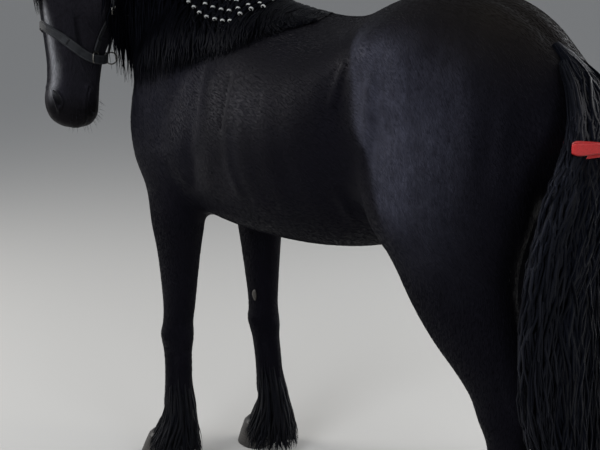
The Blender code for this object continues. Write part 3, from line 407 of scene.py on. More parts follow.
def blend_weight(p):
    """Where lofts run into each other, so their seams melt; the slim parts keep their shape."""
    x, y, z = p.T
    w = 0.75 * smoothstep(0.80, 0.98, z) * smoothstep(1.90, 1.70, z)
    w *= 1 - 0.75 * smoothstep(0.20, 0.10, np.linalg.norm((p - on_head(0.30, 0, 0)) * arr(1, 1, 0.55), axis=1))
    w *= 1 - smoothstep(0.12, 0.30, (p - arr(*POLL)) @ AXIS) * smoothstep(0.30, 0.22, np.linalg.norm((p - on_head(0.3, 0, 0))[:, :2], axis=1))
    return w


# ---------------------------------------------------------------- muscles
def bump(centre, radius, amount, both=True, along=None):
    """A soft swelling (or hollow) of the surface round a place on the left side and its mirror."""
    centre, radius = arr(*centre), np.broadcast_to(radius, 3).astype(float)

    def act(p, nrm):
        out = p.copy()
        for sign in ((1, -1) if both else (1,)):
            c = centre * arr(sign, 1, 1)
            g = np.exp(-(((p - c) / radius) ** 2).sum(1))[:, None]
            d = nrm if along is None else arr(*along) * arr(sign, 1, 1)
            out = out + amount * g * d
        return out
    return act


def stroke(points, width, amount, both=True, side=0.0):
    """A ridge (or groove) along a line of places on the left side and its mirror."""
    pts = arr(*points)

    def act(p, nrm):
        out = p.copy()
        for sign in ((1, -1) if both else (1,)):
            q = pts * arr(sign, 1, 1)
            best = np.full(len(p), 9.0)
            for a, b in zip(q, q[1:]):
                ab = b - a
                t = np.clip(((p - a) @ ab) / (ab @ ab), 0, 1)
                best = np.minimum(best, np.linalg.norm(p - a - t[:, None] * ab, axis=1))
            keep = (p[:, 0] * sign > side) if both else np.ones(len(p), bool)
            g = np.where(keep, np.exp(-(best / width) ** 2), 0)[:, None]
            out = out + amount * g * nrm
        return out
    return act


def head_bump(s, f, x, radius, amount, both=True):
    """The same on the head, in its own directions: down the axis, to the face, to the side."""
    def act(p, nrm):
        out = p.copy()
        for sign in ((1, -1) if both else (1,)):
            d = p - on_head(s, f, x * sign)
            q = np.stack([d @ AXIS, d @ FRONT, d @ LEFT], 1) / np.broadcast_to(radius, 3)
            out = out + amount * np.exp(-(q ** 2).sum(1))[:, None] * nrm
        return out
    return act


MUSCLES = [
    # shoulder and chest
    bump((0.180, -0.185, 1.130), (0.07, 0.07, 0.09), 0.008),           # point of the shoulder
    bump((0.085, -0.300, 1.080), (0.075, 0.07, 0.10), 0.018),          # breast muscle
    stroke([(0.0, -0.36, 1.22), (0.0, -0.32, 1.05), (0.0, -0.24, 0.94)], 0.030, -0.018, both=False),
    bump((0.240, 0.060, 1.090), (0.07, 0.11, 0.11), 0.018),            # triceps
    stroke([(0.20, 0.150, 1.42), (0.25, 0.185, 1.20), (0.25, 0.165, 1.02)], 0.040, -0.010),
    stroke([(0.16, -0.06, 1.46), (0.22, -0.14, 1.28), (0.24, -0.20, 1.16)], 0.035, 0.008),
    bump((0.140, 0.040, 1.500), (0.06, 0.12, 0.09), -0.010),           # behind the shoulder blade
    bump((0.0, 0.020, 1.630), (0.04, 0.12, 0.05), 0.006, both=False),  # withers
    # barrel
    bump((0.300, 0.420, 1.100), (0.12, 0.22, 0.20), 0.010),
    bump((0.270, 0.800, 1.330), (0.06, 0.075, 0.11), -0.022),          # hollow of the flank
    bump((0.255, 0.800, 1.020), (0.07, 0.070, 0.08), -0.012),          # fold before the stifle
    # haunch
    bump((0.250, 0.870, 1.455), (0.045, 0.055, 0.055), 0.020),         # point of the hip
    bump((0.215, 1.020, 1.470), (0.10, 0.14, 0.10), 0.016),            # croup muscle
    bump((0.270, 1.140, 1.220), (0.09, 0.13, 0.17), 0.016),            # thigh
    bump((0.270, 0.900, 1.080), (0.08, 0.10, 0.12), 0.014),            # before the thigh
    stroke([(0.22, 1.230, 1.44), (0.25, 1.235, 1.24), (0.22, 1.215, 1.02)], 0.030, -0.010),
    bump((0.230, 0.850, 0.985), (0.06, 0.06, 0.07), 0.012),            # stifle
    bump((0.220, 1.050, 0.870), (0.06, 0.09, 0.10), 0.010),            # gaskin
    stroke([(0.0, 0.62, 1.56), (0.0, 0.90, 1.60), (0.0, 1.12, 1.60), (0.0, 1.27, 1.50)], 0.030, -0.009, both=False),
    # forearm, knee and hock
    bump((0.195, -0.045, 0.860), (0.05, 0.06, 0.09), 0.010),
    bump((0.205, 0.040, 0.830), (0.05, 0.05, 0.09), 0.006),
    # neck
    bump((0.120, -0.180, 1.420), (0.07, 0.10, 0.12), 0.010),
    stroke([(0.105, -0.27, 1.20), (0.115, -0.31, 1.34), (0.125, -0.30, 1.48)], 0.024, -0.012, both=False),
    stroke([(-0.105, -0.28, 1.20), (-0.085, -0.33, 1.34), (-0.03, -0.37, 1.48)], 0.024, -0.012, both=False),
    # head
    head_bump(0.190, 0.060, 0.095, (0.035, 0.030, 0.030), 0.012),      # brow over the eye
    head_bump(0.235, -0.085, 0.085, (0.070, 0.070, 0.040), 0.012),     # cheek
    head_bump(0.300, -0.140, 0.000, (0.120, 0.060, 0.022), -0.016, both=False),  # between the jaws
    head_bump(0.345, 0.030, 0.070, (0.060, 0.016, 0.030), 0.005),      # facial crest
    head_bump(0.330, 0.075, 0.055, (0.070, 0.030, 0.030), -0.006),
    head_bump(0.540, 0.045, 0.055, (0.030, 0.030, 0.025), 0.009),      # nostril
    head_bump(0.600, -0.050, 0.000, (0.028, 0.028, 0.040), 0.008, both=False),   # chin
    head_bump(0.115, 0.075, 0.070, (0.030, 0.030, 0.025), -0.006),     # hollow above the eye
]



# ---------------------------------------------------------------- finer skin
def get_edges(mesh):
    e = np.empty(len(mesh.edges) * 2, np.int32)
    mesh.edges.foreach_get("vertices", e)
    return e.reshape(-1, 2)


def refine(obj, inside, rounds=3):
    """Halve the quads where inside(points) says so, then smooth what was added."""
    p = coords(obj.data)
    mask = inside(p)
    bm = bmesh.new()
    bm.from_mesh(obj.data)
    bm.verts.ensure_lookup_table()
    edges = [e for e in bm.edges if mask[e.verts[0].index] and mask[e.verts[1].index]]
    bmesh.ops.subdivide_edges(bm, edges=edges, cuts=1, use_grid_fill=True)
    bm.to_mesh(obj.data)
    bm.free()
    p = coords(obj.data)
    near = inside(p).astype(float)
    put(obj.data, relax(p, get_edges(obj.data), near, rounds))


def head_frame(p):
    """Points as s down the head's axis, f out towards the face and x to its left."""
    d = p - arr(*POLL)
    return np.stack([d @ AXIS, d @ FRONT, d @ LEFT], -1)


HEAD_TABLE = np.array(head_rows())
HEAD_AT = (HEAD_TABLE[:, :3] - arr(*POLL)) @ AXIS


def head_measure(p):
    """How far a point is from the head's own axis, in the head's own radii (1 is its skin)."""
    q = head_frame(p)
    w, f, r = (np.interp(q[:, 0], HEAD_AT, HEAD_TABLE[:, k]) for k in (9, 10, 11))
    depth = np.where(q[:, 1] > 0, f, r)
    m = np.hypot(q[:, 2] / w, q[:, 1] / depth)
    past = np.maximum(HEAD_AT[0] - q[:, 0], 0) + np.maximum(q[:, 0] - HEAD_AT[-1], 0)
    return m + past * 30


def head_zone(p, s0=-0.2, s1=1.0, limit=1.30):
    q = head_frame(p)
    return (head_measure(p) < limit) & (q[:, 0] > s0) & (q[:, 0] < s1)


EYE_RADIUS, EYE_AT = 0.0215, (0.208, 0.060, 0.0800)
EYES = [on_head(EYE_AT[0], EYE_AT[1], sign * EYE_AT[2]) for sign in (1, -1)]


def eye_axes(sign):
    """The eye's own directions: along towards the muzzle, up over it, and out of the head."""
    out = unit(LEFT * sign * 0.94 + FRONT * 0.34)
    along = unit(AXIS * 0.90 + FRONT * 0.30)
    along = unit(along - out * np.dot(along, out))
    up = unit(np.cross(out, along) * sign)
    if np.dot(up, FRONT) < 0:
        up = -up
    return along, up, out


NOSTRIL_AT = (0.551, 0.066, 0.043)
MOUTH = [(0.648, -0.012), (0.630, -0.022), (0.600, -0.026), (0.570, -0.027), (0.540, -0.032), (0.525, -0.036)]


def fine_zone(p):
    q = head_frame(p)
    eye = np.minimum(*(np.linalg.norm(p - e, axis=1) for e in EYES)) < 0.042
    nose = (q[:, 0] > 0.515) & (q[:, 0] < 0.605) & (q[:, 1] > 0.005) & (q[:, 1] < 0.085) & (np.abs(q[:, 2]) > 0.018)
    mouth = (q[:, 0] > 0.515) & (np.abs(q[:, 1] + 0.026) < 0.020)
    return (eye | nose | mouth) & (head_measure(p) < 1.35)


def leg_zone(p):
    return (p[:, 2] > 0.30) & (p[:, 2] < 0.66)


body = whole_body()
body.name = "skin"

# folds and finer muscles that the coarse grid can carry
MORE = [
    stroke([(0.19, 0.105, 0.975), (0.22, 0.16, 1.02), (0.245, 0.19, 1.08)], 0.016, -0.007),      # behind the elbow
    stroke([(0.175, 0.13, 0.955), (0.205, 0.19, 0.985)], 0.018, -0.005),
    stroke([(0.235, 0.78, 1.16), (0.215, 0.815, 1.05), (0.190, 0.835, 0.97)], 0.016, -0.008),    # flank's fold
    stroke([(0.255, 0.745, 1.20), (0.240, 0.76, 1.08), (0.215, 0.775, 0.99)], 0.018, 0.006),
    stroke([(0.275, 0.905, 1.40), (0.300, 0.880, 1.24), (0.295, 0.850, 1.10), (0.255, 0.835, 0.99)], 0.022, 0.008),
    stroke([(0.245, 1.10, 1.50), (0.275, 1.13, 1.36), (0.285, 1.15, 1.20), (0.27, 1.16, 1.05), (0.23, 1.18, 0.92)], 0.045, -0.006),
    stroke([(0.265, 1.00, 1.44), (0.305, 1.00, 1.30), (0.305, 0.99, 1.14), (0.27, 0.98, 1.00)], 0.050, 0.006),
    stroke([(0.215, -0.06, 1.40), (0.245, -0.02, 1.26), (0.25, 0.02, 1.12)], 0.036, -0.006),
    stroke([(0.17, 0.08, 1.54), (0.22, 0.12, 1.42), (0.26, 0.16, 1.28)], 0.036, 0.006),
    stroke([(0.235, 0.10, 1.02), (0.26, 0.22, 0.97), (0.26, 0.42, 0.925), (0.22, 0.62, 0.92)], 0.010, 0.004),   # vein under the barrel
    stroke([(0.235, 0.25, 1.33), (0.265, 0.28, 1.24), (0.285, 0.29, 1.14), (0.265, 0.27, 1.04)], 0.042, 0.006),   # triceps, reaching far back
    stroke([(0.243, 0.328, 1.345), (0.270, 0.342, 1.28), (0.285, 0.345, 1.21)], 0.011, -0.005),
    stroke([(0.285, 0.385, 1.24), (0.302, 0.378, 1.17), (0.306, 0.395, 1.10), (0.290, 0.420, 1.03)], 0.022, 0.004),
    stroke([(0.250, 0.782, 1.433), (0.261, 0.769, 1.381), (0.275, 0.755, 1.317)], 0.010, 0.004),                   # skin fold over the flank
    stroke([(0.30, 0.42, 1.32), (0.325, 0.46, 1.12), (0.295, 0.50, 0.97)], 0.034, 0.0022),
    stroke([(0.30, 0.52, 1.34), (0.33, 0.56, 1.14), (0.30, 0.60, 0.99)], 0.034, 0.0020),
    stroke([(0.30, 0.62, 1.36), (0.325, 0.66, 1.18), (0.29, 0.69, 1.03)], 0.034, 0.0018),
    stroke([(0.150, -0.245, 1.30), (0.165, -0.235, 1.18), (0.150, -0.215, 1.05)], 0.018, -0.006),
]
for shape in MORE:
    put(body.data, shape(coords(body.data), normals(body.data)))

refine(body, lambda p: head_zone(p, -0.10, 1.0, 1.5), 3)


def limb_detail():
    """Knees, hocks, tendons and the long bones, on each leg where it stands."""
    shapes = []
    for sign, fs, hs in ((1, FORE_STEP[0], HIND_STEP[0]), (-1, FORE_STEP[1], HIND_STEP[1])):
        def at(x, y, z, step):
            return (x * sign, y + step * (1 - min(z, 1.05) / 1.05) / (1 - 0.08 / 1.05), z)
        f = lambda x, y, z: at(x, y, z, fs)
        h = lambda x, y, z: at(x, y, z, hs)
        for inner in (1, -1):
            ox = FORE_X + 0.040 * inner
            shapes += [stroke([f(ox, 0.022, 0.40), f(ox, 0.026, 0.33), f(ox, 0.024, 0.26)], 0.010, -0.005, both=False),
                       bump(f(FORE_X + 0.050 * inner, -0.012, 0.470), (0.018, 0.022, 0.020), 0.005, both=False),
                       bump(f(FORE_X + 0.046 * inner, 0.000, 0.228), (0.014, 0.024, 0.020), 0.004, both=False)]
            ox = HIND_X + 0.036 * inner
            shapes += [stroke([h(ox, 1.282, 0.43), h(ox, 1.284, 0.35), h(ox, 1.282, 0.27)], 0.010, -0.005, both=False),
                       bump(h(HIND_X + 0.048 * inner, 1.232, 0.560), (0.018, 0.030, 0.026), 0.006, both=False),
                       stroke([h(HIND_X + 0.042 * inner, 1.265, 0.66), h(HIND_X + 0.036 * inner, 1.29, 0.59)], 0.012, -0.007, both=False)]
        shapes += [stroke([f(FORE_X, 0.052, 0.40), f(FORE_X, 0.055, 0.32), f(FORE_X, 0.056, 0.26)], 0.012, 0.004, both=False),
                   bump(f(FORE_X, 0.046, 0.450), (0.026, 0.018, 0.030), 0.008, both=False),          # back of the knee
                   bump(f(FORE_X, -0.056, 0.468), (0.032, 0.018, 0.034), 0.006, both=False),         # front of the knee
                   stroke([f(FORE_X - 0.03, -0.052, 0.435), f(FORE_X + 0.03, -0.052, 0.435)], 0.007, -0.003, both=False),
                   stroke([f(FORE_X - 0.03, -0.054, 0.498), f(FORE_X + 0.03, -0.054, 0.498)], 0.008, -0.003, both=False),
                   bump(h(HIND_X, 1.322, 0.605), (0.022, 0.022, 0.034), 0.014, both=False),          # point of the hock
                   stroke([h(HIND_X, 1.305, 0.72), h(HIND_X, 1.318, 0.65)], 0.013, 0.008, both=False),
                   stroke([h(HIND_X, 1.308, 0.54), h(HIND_X, 1.308, 0.45), h(HIND_X, 1.304, 0.32)], 0.012, 0.005, both=False),
                   bump(h(HIND_X, 1.190, 0.545), (0.026, 0.018, 0.030), 0.005, both=False),
                   stroke([f(0.19, -0.05, 0.86), f(0.178, -0.045, 0.74), f(0.166, -0.03, 0.60)], 0.014, 0.004, both=False),
                   stroke([f(0.205, 0.012, 0.88), f(0.190, 0.010, 0.76), f(0.176, 0.006, 0.62)], 0.011, -0.004, both=False),
                   stroke([h(0.225, 1.14, 0.90), h(0.222, 1.18, 0.80), h(0.208, 1.22, 0.70)], 0.014, -0.005, both=False),
                   stroke([h(0.230, 1.09, 0.90), h(0.232, 1.14, 0.80), h(0.214, 1.18, 0.70)], 0.016, 0.004, both=False)]
    return shapes


for shape in limb_detail():
    put(body.data, shape(coords(body.data), normals(body.data)))

refine(body, lambda p: head_zone(p, 0.02, 1.0, 1.32), 3)
HEAD_DETAIL = [
    head_bump(0.260, -0.080, 0.095, (0.075, 0.075, 0.03), 0.005),                  # the big cheek muscle
    head_bump(0.165, 0.085, 0.072, (0.020, 0.020, 0.02), -0.007),                  # hollow over the eye
    head_bump(0.183, 0.082, 0.082, (0.022, 0.012, 0.02), 0.006),                   # bony brow
    head_bump(0.470, 0.060, 0.050, (0.050, 0.016, 0.02), -0.004),
    head_bump(0.560, 0.082, 0.020, (0.040, 0.02, 0.014), 0.003),
    head_bump(0.610, 0.020, 0.030, (0.030, 0.03, 0.03), 0.004),
    head_bump(0.330, 0.110, 0.0, (0.150, 0.03, 0.012), -0.0035, both=False),       # dip along the middle of the face
    head_bump(0.628, -0.045, 0.0, (0.020, 0.018, 0.030), 0.006, both=False),       # chin
    head_bump(0.585, -0.070, 0.0, (0.020, 0.020, 0.026), -0.004, both=False),
]


def head_line(points, width, amount):
    """A vein, ridge or groove on both sides of the head, through (s, f, x) places."""
    pts = [on_head(*q) for q in points]
    other = [on_head(q[0], q[1], -q[2]) for q in points]
    a, b = stroke(pts, width, amount, both=False), stroke(other, width, amount, both=False)
    return lambda p, nrm: b(a(p, nrm), nrm)


HEAD_DETAIL += [
    head_line([(0.265, 0.040, 0.100), (0.310, 0.026, 0.086), (0.360, 0.014, 0.072), (0.395, 0.006, 0.064)], 0.0075, 0.0050),   # facial crest
    head_line([(0.305, 0.010, 0.086), (0.360, -0.004, 0.070), (0.400, -0.012, 0.062)], 0.009, -0.0035),
    head_line([(0.300, 0.078, 0.060), (0.360, 0.072, 0.050), (0.430, 0.066, 0.044), (0.495, 0.066, 0.042)], 0.006, 0.0026),    # edge of the nasal bone
    head_line([(0.300, 0.060, 0.078), (0.370, 0.054, 0.062), (0.450, 0.050, 0.055)], 0.008, -0.0028),
    head_line([(0.330, 0.050, 0.080), (0.375, 0.030, 0.068), (0.430, 0.020, 0.060), (0.490, 0.028, 0.060)], 0.0035, 0.0016),   # face vein
    head_line([(0.375, 0.030, 0.068), (0.420, 0.000, 0.060), (0.465, -0.020, 0.056)], 0.0032, 0.0014),
    head_line([(0.315, -0.020, 0.082), (0.350, -0.055, 0.070), (0.365, -0.095, 0.050)], 0.0042, 0.0022),
    head_line([(0.160, -0.110, 0.092), (0.230, -0.150, 0.080), (0.300, -0.145, 0.062), (0.345, -0.115, 0.052)], 0.008, 0.0030),  # edge of the jaw
    head_line([(0.160, -0.070, 0.104), (0.225, -0.105, 0.100), (0.290, -0.095, 0.088)], 0.007, -0.0022),
    head_line([(0.210, -0.030, 0.110), (0.270, -0.035, 0.104), (0.325, -0.050, 0.084)], 0.006, -0.0018),
]
for shape in HEAD_DETAIL:
    put(body.data, shape(coords(body.data), normals(body.data)))
refine(body, fine_zone, 2)


# ---------------------------------------------------------------- eyelids, nostrils and mouth
def almond(a, b):
    """Signed distance, roughly, from the opening between the lids (negative inside); metres."""
    half = 0.0178
    t = np.clip(np.abs(a) / half, 0, 1)
    upper = 0.0125 * (1 - t ** 2.2) ** 0.9
    lower = 0.0088 * (1 - t ** 2.0) ** 0.9
    edge = np.where(b > 0, upper, lower)
    over = np.abs(b) - edge
    ends = np.abs(a) - half
    return np.where(ends > 0, np.hypot(ends, np.maximum(np.abs(b), 0)), over)


def shape_eyes(p, nrm):
    out = p.copy()
    for sign, eye in zip((1, -1), EYES):
        along, up, outw = eye_axes(sign)
        d = p - eye
        a, b, o = d @ along, d @ up, d @ outw
        flat = np.hypot(a, b)
        near = (np.linalg.norm(d, axis=1) < 0.060) & (o > -0.030)
        sd = almond(a, b)
        lid = 0.0032 * np.exp(-(np.maximum(sd, 0) / 0.010) ** 2)
        lid = lid + 0.0022 * np.exp(-((sd - 0.0085) / 0.0026) ** 2) * (b > -0.002)      # fold over the upper lid
        lid = lid - 0.0016 * np.exp(-((sd - 0.0050) / 0.0016) ** 2)
        lid = lid + 0.0010 * np.exp(-((sd - 0.0090) / 0.0024) ** 2) * (b <= -0.002)
        ball = np.sqrt(np.maximum((EYE_RADIUS + 0.0010) ** 2 - np.minimum(flat, 0.0205) ** 2, 0.0)) + lid
        w = smoothstep(0.034, 0.016, flat)
        target = np.where(near, o * (1 - w) + ball * w, o)
        inside = near & (sd < 0)
        deep = smoothstep(0.0, -0.0035, sd)
        target = np.where(inside, target * (1 - deep) + (-0.004) * deep, target)
        snap = near & (np.abs(sd) < 0.0009) & (np.abs(a) < 0.0175)
        b_to = np.where(b > 0, b - sd, b + sd)
        b_new = np.where(snap, b_to, b)
        out = np.where(near[:, None], eye + a[:, None] * along + b_new[:, None] * up + target[:, None] * outw, out)
    return out


def nostril_axes(sign):
    """The nostril's own directions: long way, short way, and out of the nose."""
    out = unit(LEFT * sign * 0.78 + FRONT * 0.56 + AXIS * 0.28)
    long_ = unit(AXIS * 0.76 - FRONT * 0.60 + LEFT * sign * 0.10)
    long_ = unit(long_ - out * np.dot(long_, out))
    short = unit(np.cross(out, long_) * sign)
    if np.dot(short, AXIS) < 0:
        short = -short
    return long_, short, out


def shape_nostrils(p, nrm):
    out = p.copy()
    for sign in (1, -1):
        c = on_head(NOSTRIL_AT[0], NOSTRIL_AT[1], sign * NOSTRIL_AT[2])
        long_, short, outw = nostril_axes(sign)
        d = p - c
        a, b, o = d @ long_, d @ short, d @ outw
        bend = b + 0.0065 * (1 - (a / 0.024) ** 2)          # a comma, curling back at the top
        m = np.hypot(a / 0.0245, bend / (0.0092 + 0.0026 * np.clip(a / 0.024, -1, 1)))
        near = (np.abs(o) < 0.05) & (m < 4)
        rim = 0.0052 * np.exp(-((m - 1.42) / 0.38) ** 2) * (1 + 0.5 * (bend > 0)) * (1 - 0.75 * smoothstep(0.2, 1.0, -a / 0.0245))
        hole = -0.026 * smoothstep(1.02, 0.55, m)
        push = np.where(near, rim + hole, 0)[:, None]
        out = out + push * outw
    return out


def shape_mouth(p, nrm):
    pts = []
    for sign in (1, -1):
        line = []
        for s, f in MOUTH:
            w = float(np.interp(s, HEAD_AT, HEAD_TABLE[:, 9]))
            line.append(on_head(s, f, sign * w * 0.93))
        pts.append(line)
    front = [on_head(0.652, -0.006, x) for x in (-0.026, -0.012, 0.0, 0.012, 0.026)]
    whole = pts[1][::-1] + front + pts[0]
    groove = stroke(whole, 0.0036, -0.0075, both=False)
    lips = stroke(whole, 0.0125, 0.0030, both=False)
    q = lips(p, nrm)
    q = groove(q, nrm)
    for sign in (1, -1):                     # corner of the mouth, with its small fold
        c = on_head(0.520, -0.040, sign * float(np.interp(0.520, HEAD_AT, HEAD_TABLE[:, 9])) * 0.92)
        r = np.linalg.norm(p - c, axis=1)
        q = q + (0.0030 * np.exp(-((r - 0.011) / 0.005) ** 2))[:, None] * nrm
    return q


EDGES = get_edges(body.data)
for shape in (shape_nostrils, shape_mouth, shape_eyes):
    put(body.data, shape(coords(body.data), normals(body.data)))
p = coords(body.data)
eye_near = np.minimum(*(np.linalg.norm(p - e, axis=1) for e in EYES))
soft = fine_zone(p).astype(float) * smoothstep(0.026, 0.034, eye_near)
put(body.data, relax(p, EDGES, soft, 2))
body.data.calc_loop_triangles()
print("SKIN triangles", len(body.data.loop_triangles), "verts", len(body.data.vertices))


# ---------------------------------------------------------------- ears, grown out of the skin
EAR_ROWS = ((-0.004, 0.034, 0.030, 0.030, 0.000), (0.010, 0.028, 0.024, 0.025, 0.000),
            (0.035, 0.0300, 0.017, 0.024, 0.003), (0.060, 0.0295, 0.013, 0.022, 0.005), (0.085, 0.0250, 0.011, 0.019, 0.005),
            (0.110, 0.0180, 0.008, 0.014, 0.002), (0.131, 0.0100, 0.0055, 0.009, -0.003), (0.147, 0.0028, 0.002, 0.003, -0.008))


def ear_axes(sign):
    out = unit(-AXIS * 0.96 + LEFT * sign * 0.20 + FRONT * 0.16)
    face = unit(FRONT * 0.9 + LEFT * sign * 0.42)
    across = unit(np.cross(out, face))
    face = unit(np.cross(across, out))
    return on_head(-0.018, -0.010, sign * 0.045), out, across, face


def ear_amount(p):
    """1 on the ears, 0 elsewhere, with a soft start at their roots."""
    p = np.atleast_2d(p)
    amount = np.zeros(len(p))
    for sign in (1, -1):
        c, out, across, face = ear_axes(sign)
        d = p - c
        h = d @ out
        near = smoothstep(0.048, 0.040, np.linalg.norm(d - h[:, None] * out, axis=1))
        amount = np.maximum(amount, near * smoothstep(0.006, 0.024, h))
    return amount


def make_ears():
    tree = BVHTree.FromObject(body, bpy.context.evaluated_depsgraph_get())
    bm = bmesh.new()
    bm.from_mesh(body.data)
    n = 22
    for sign in (1, -1):
        c, out, across, face = ear_axes(sign)
        rows = np.array(EAR_ROWS)
        hs = np.concatenate([np.linspace(-0.004, 0.02, 7), np.linspace(0.024, 0.147, 27)])
        rings_ = []
        for h in hs:
            w, f, b, lean = (float(np.interp(h, rows[:, 0], np.convolve(np.pad(rows[:, k], 1, "edge"), [0.04, 0.92, 0.04], "valid"))) for k in (1, 2, 3, 4))
            k = float(smoothstep(0.012, 0.050, h))
            thick = 0.0030 - 0.0012 * float(smoothstep(0.05, 0.14, h))
            ring_pts = []
            th = np.radians(np.linspace(-38, 218, n))
            edge = np.abs(np.linspace(-1, 1, n)) ** 6
            for t, e in zip(th, edge):                    # round the back
                y = -math.sin(t) * (b if math.sin(t) > 0 else f)
                ring_pts.append((w * math.cos(t), y))
            for t, tf in zip(th[::-1], np.radians(np.linspace(218, 322, n))):
                wi, bi, fi = max(w - thick, 0.0008), max(b - thick, 0.0008), max(f - thick * 0.2, 0.0008)
                hollow = (wi * math.cos(t), -math.sin(t) * (bi if math.sin(t) > 0 else fi))
                shut = (w * math.cos(tf), -math.sin(tf) * f)
                ring_pts.append((hollow[0] * k + shut[0] * (1 - k), hollow[1] * k + shut[1] * (1 - k)))
            ring_ = []
            for x, y in ring_pts:
                q = c + h * out + (x + sign * 0) * across + y * face + lean * sign * LEFT
                if h < 0.020:
                    flare = float(smoothstep(0.020, -0.004, h))
                    q = q + flare * 0.30 * (x * across + y * face)
                    near, nrm, _, _ = tree.find_nearest(Vector(q))
                    on = arr(*near) - 0.0008 * arr(*nrm)
                    q = q * (1 - flare ** 1.5) + on * flare ** 1.5
                ring_.append(bm.verts.new(q))
            rings_.append(ring_)
        m = len(rings_[0])
        faces = []
        for a, b in zip(rings_, rings_[1:]):
            for k in range(m):
                faces.append(bm.faces.new((a[k], a[(k + 1) % m], b[(k + 1) % m], b[k])))
        tip = bm.verts.new(sum((v.co for v in rings_[-1]), Vector()) / m + Vector(out) * 0.002)
        for k in range(m):
            faces.append(bm.faces.new((rings_[-1][k], rings_[-1][(k + 1) % m], tip)))
        bmesh.ops.recalc_face_normals(bm, faces=faces)
    bm.to_mesh(body.data)
    bm.free()


make_ears()

# ---------------------------------------------------------------- the lie, depth and colour of the coat, with its painted sheen and highlights
def lie_of(p):
    """Which way the short hair points, for each place on the skin."""
    x, y, z = p.T
    n = len(p)
    d = np.tile(arr(0, 1.0, -0.30), (n, 1))
    haunch = (smoothstep(0.80, 1.05, y) * smoothstep(0.85, 1.1, z))[:, None]
    d = d * (1 - haunch) + arr(0, 0.62, -0.80) * haunch
    chest = (smoothstep(-0.10, -0.24, y) * smoothstep(1.45, 1.2, z))[:, None]
    d = d * (1 - chest) + arr(0, 0.25, -1.0) * chest
    shoulder = (smoothstep(0.25, 0.05, y) * smoothstep(0.9, 1.0, z) * smoothstep(1.5, 1.3, z))[:, None]
    d = d * (1 - 0.6 * shoulder) + arr(0, 0.55, -0.85) * 0.6 * shoulder
    neck = (smoothstep(-0.02, -0.14, y) * smoothstep(1.28, 1.42, z))[:, None]
    d = d * (1 - neck) + arr(-0.12, 0.42, -0.90) * neck
    legs = smoothstep(1.02, 0.84, z)[:, None] * smoothstep(0.035, 0.08, np.abs(x))[:, None]
    d = d * (1 - legs) + arr(0, 0.10, -1.0) * legs
    head = smoothstep(1.28, 1.10, head_measure(p))[:, None]
    d = d * (1 - head) + (AXIS - 0.15 * FRONT) * head
    ear = ear_amount(p)[:, None]
    d = d * (1 - ear) - AXIS * ear
    return unit(d)


def coat_depth(p):
    x, y, z = p.T
    depth = np.full(len(p), 0.0019)
    depth = depth - 0.0006 * smoothstep(0.85, 0.60, z)
    head = smoothstep(1.30, 1.10, head_measure(p))
    head = np.maximum(head, ear_amount(p))
    depth = depth * (1 - head) + 0.0009 * head
    return depth


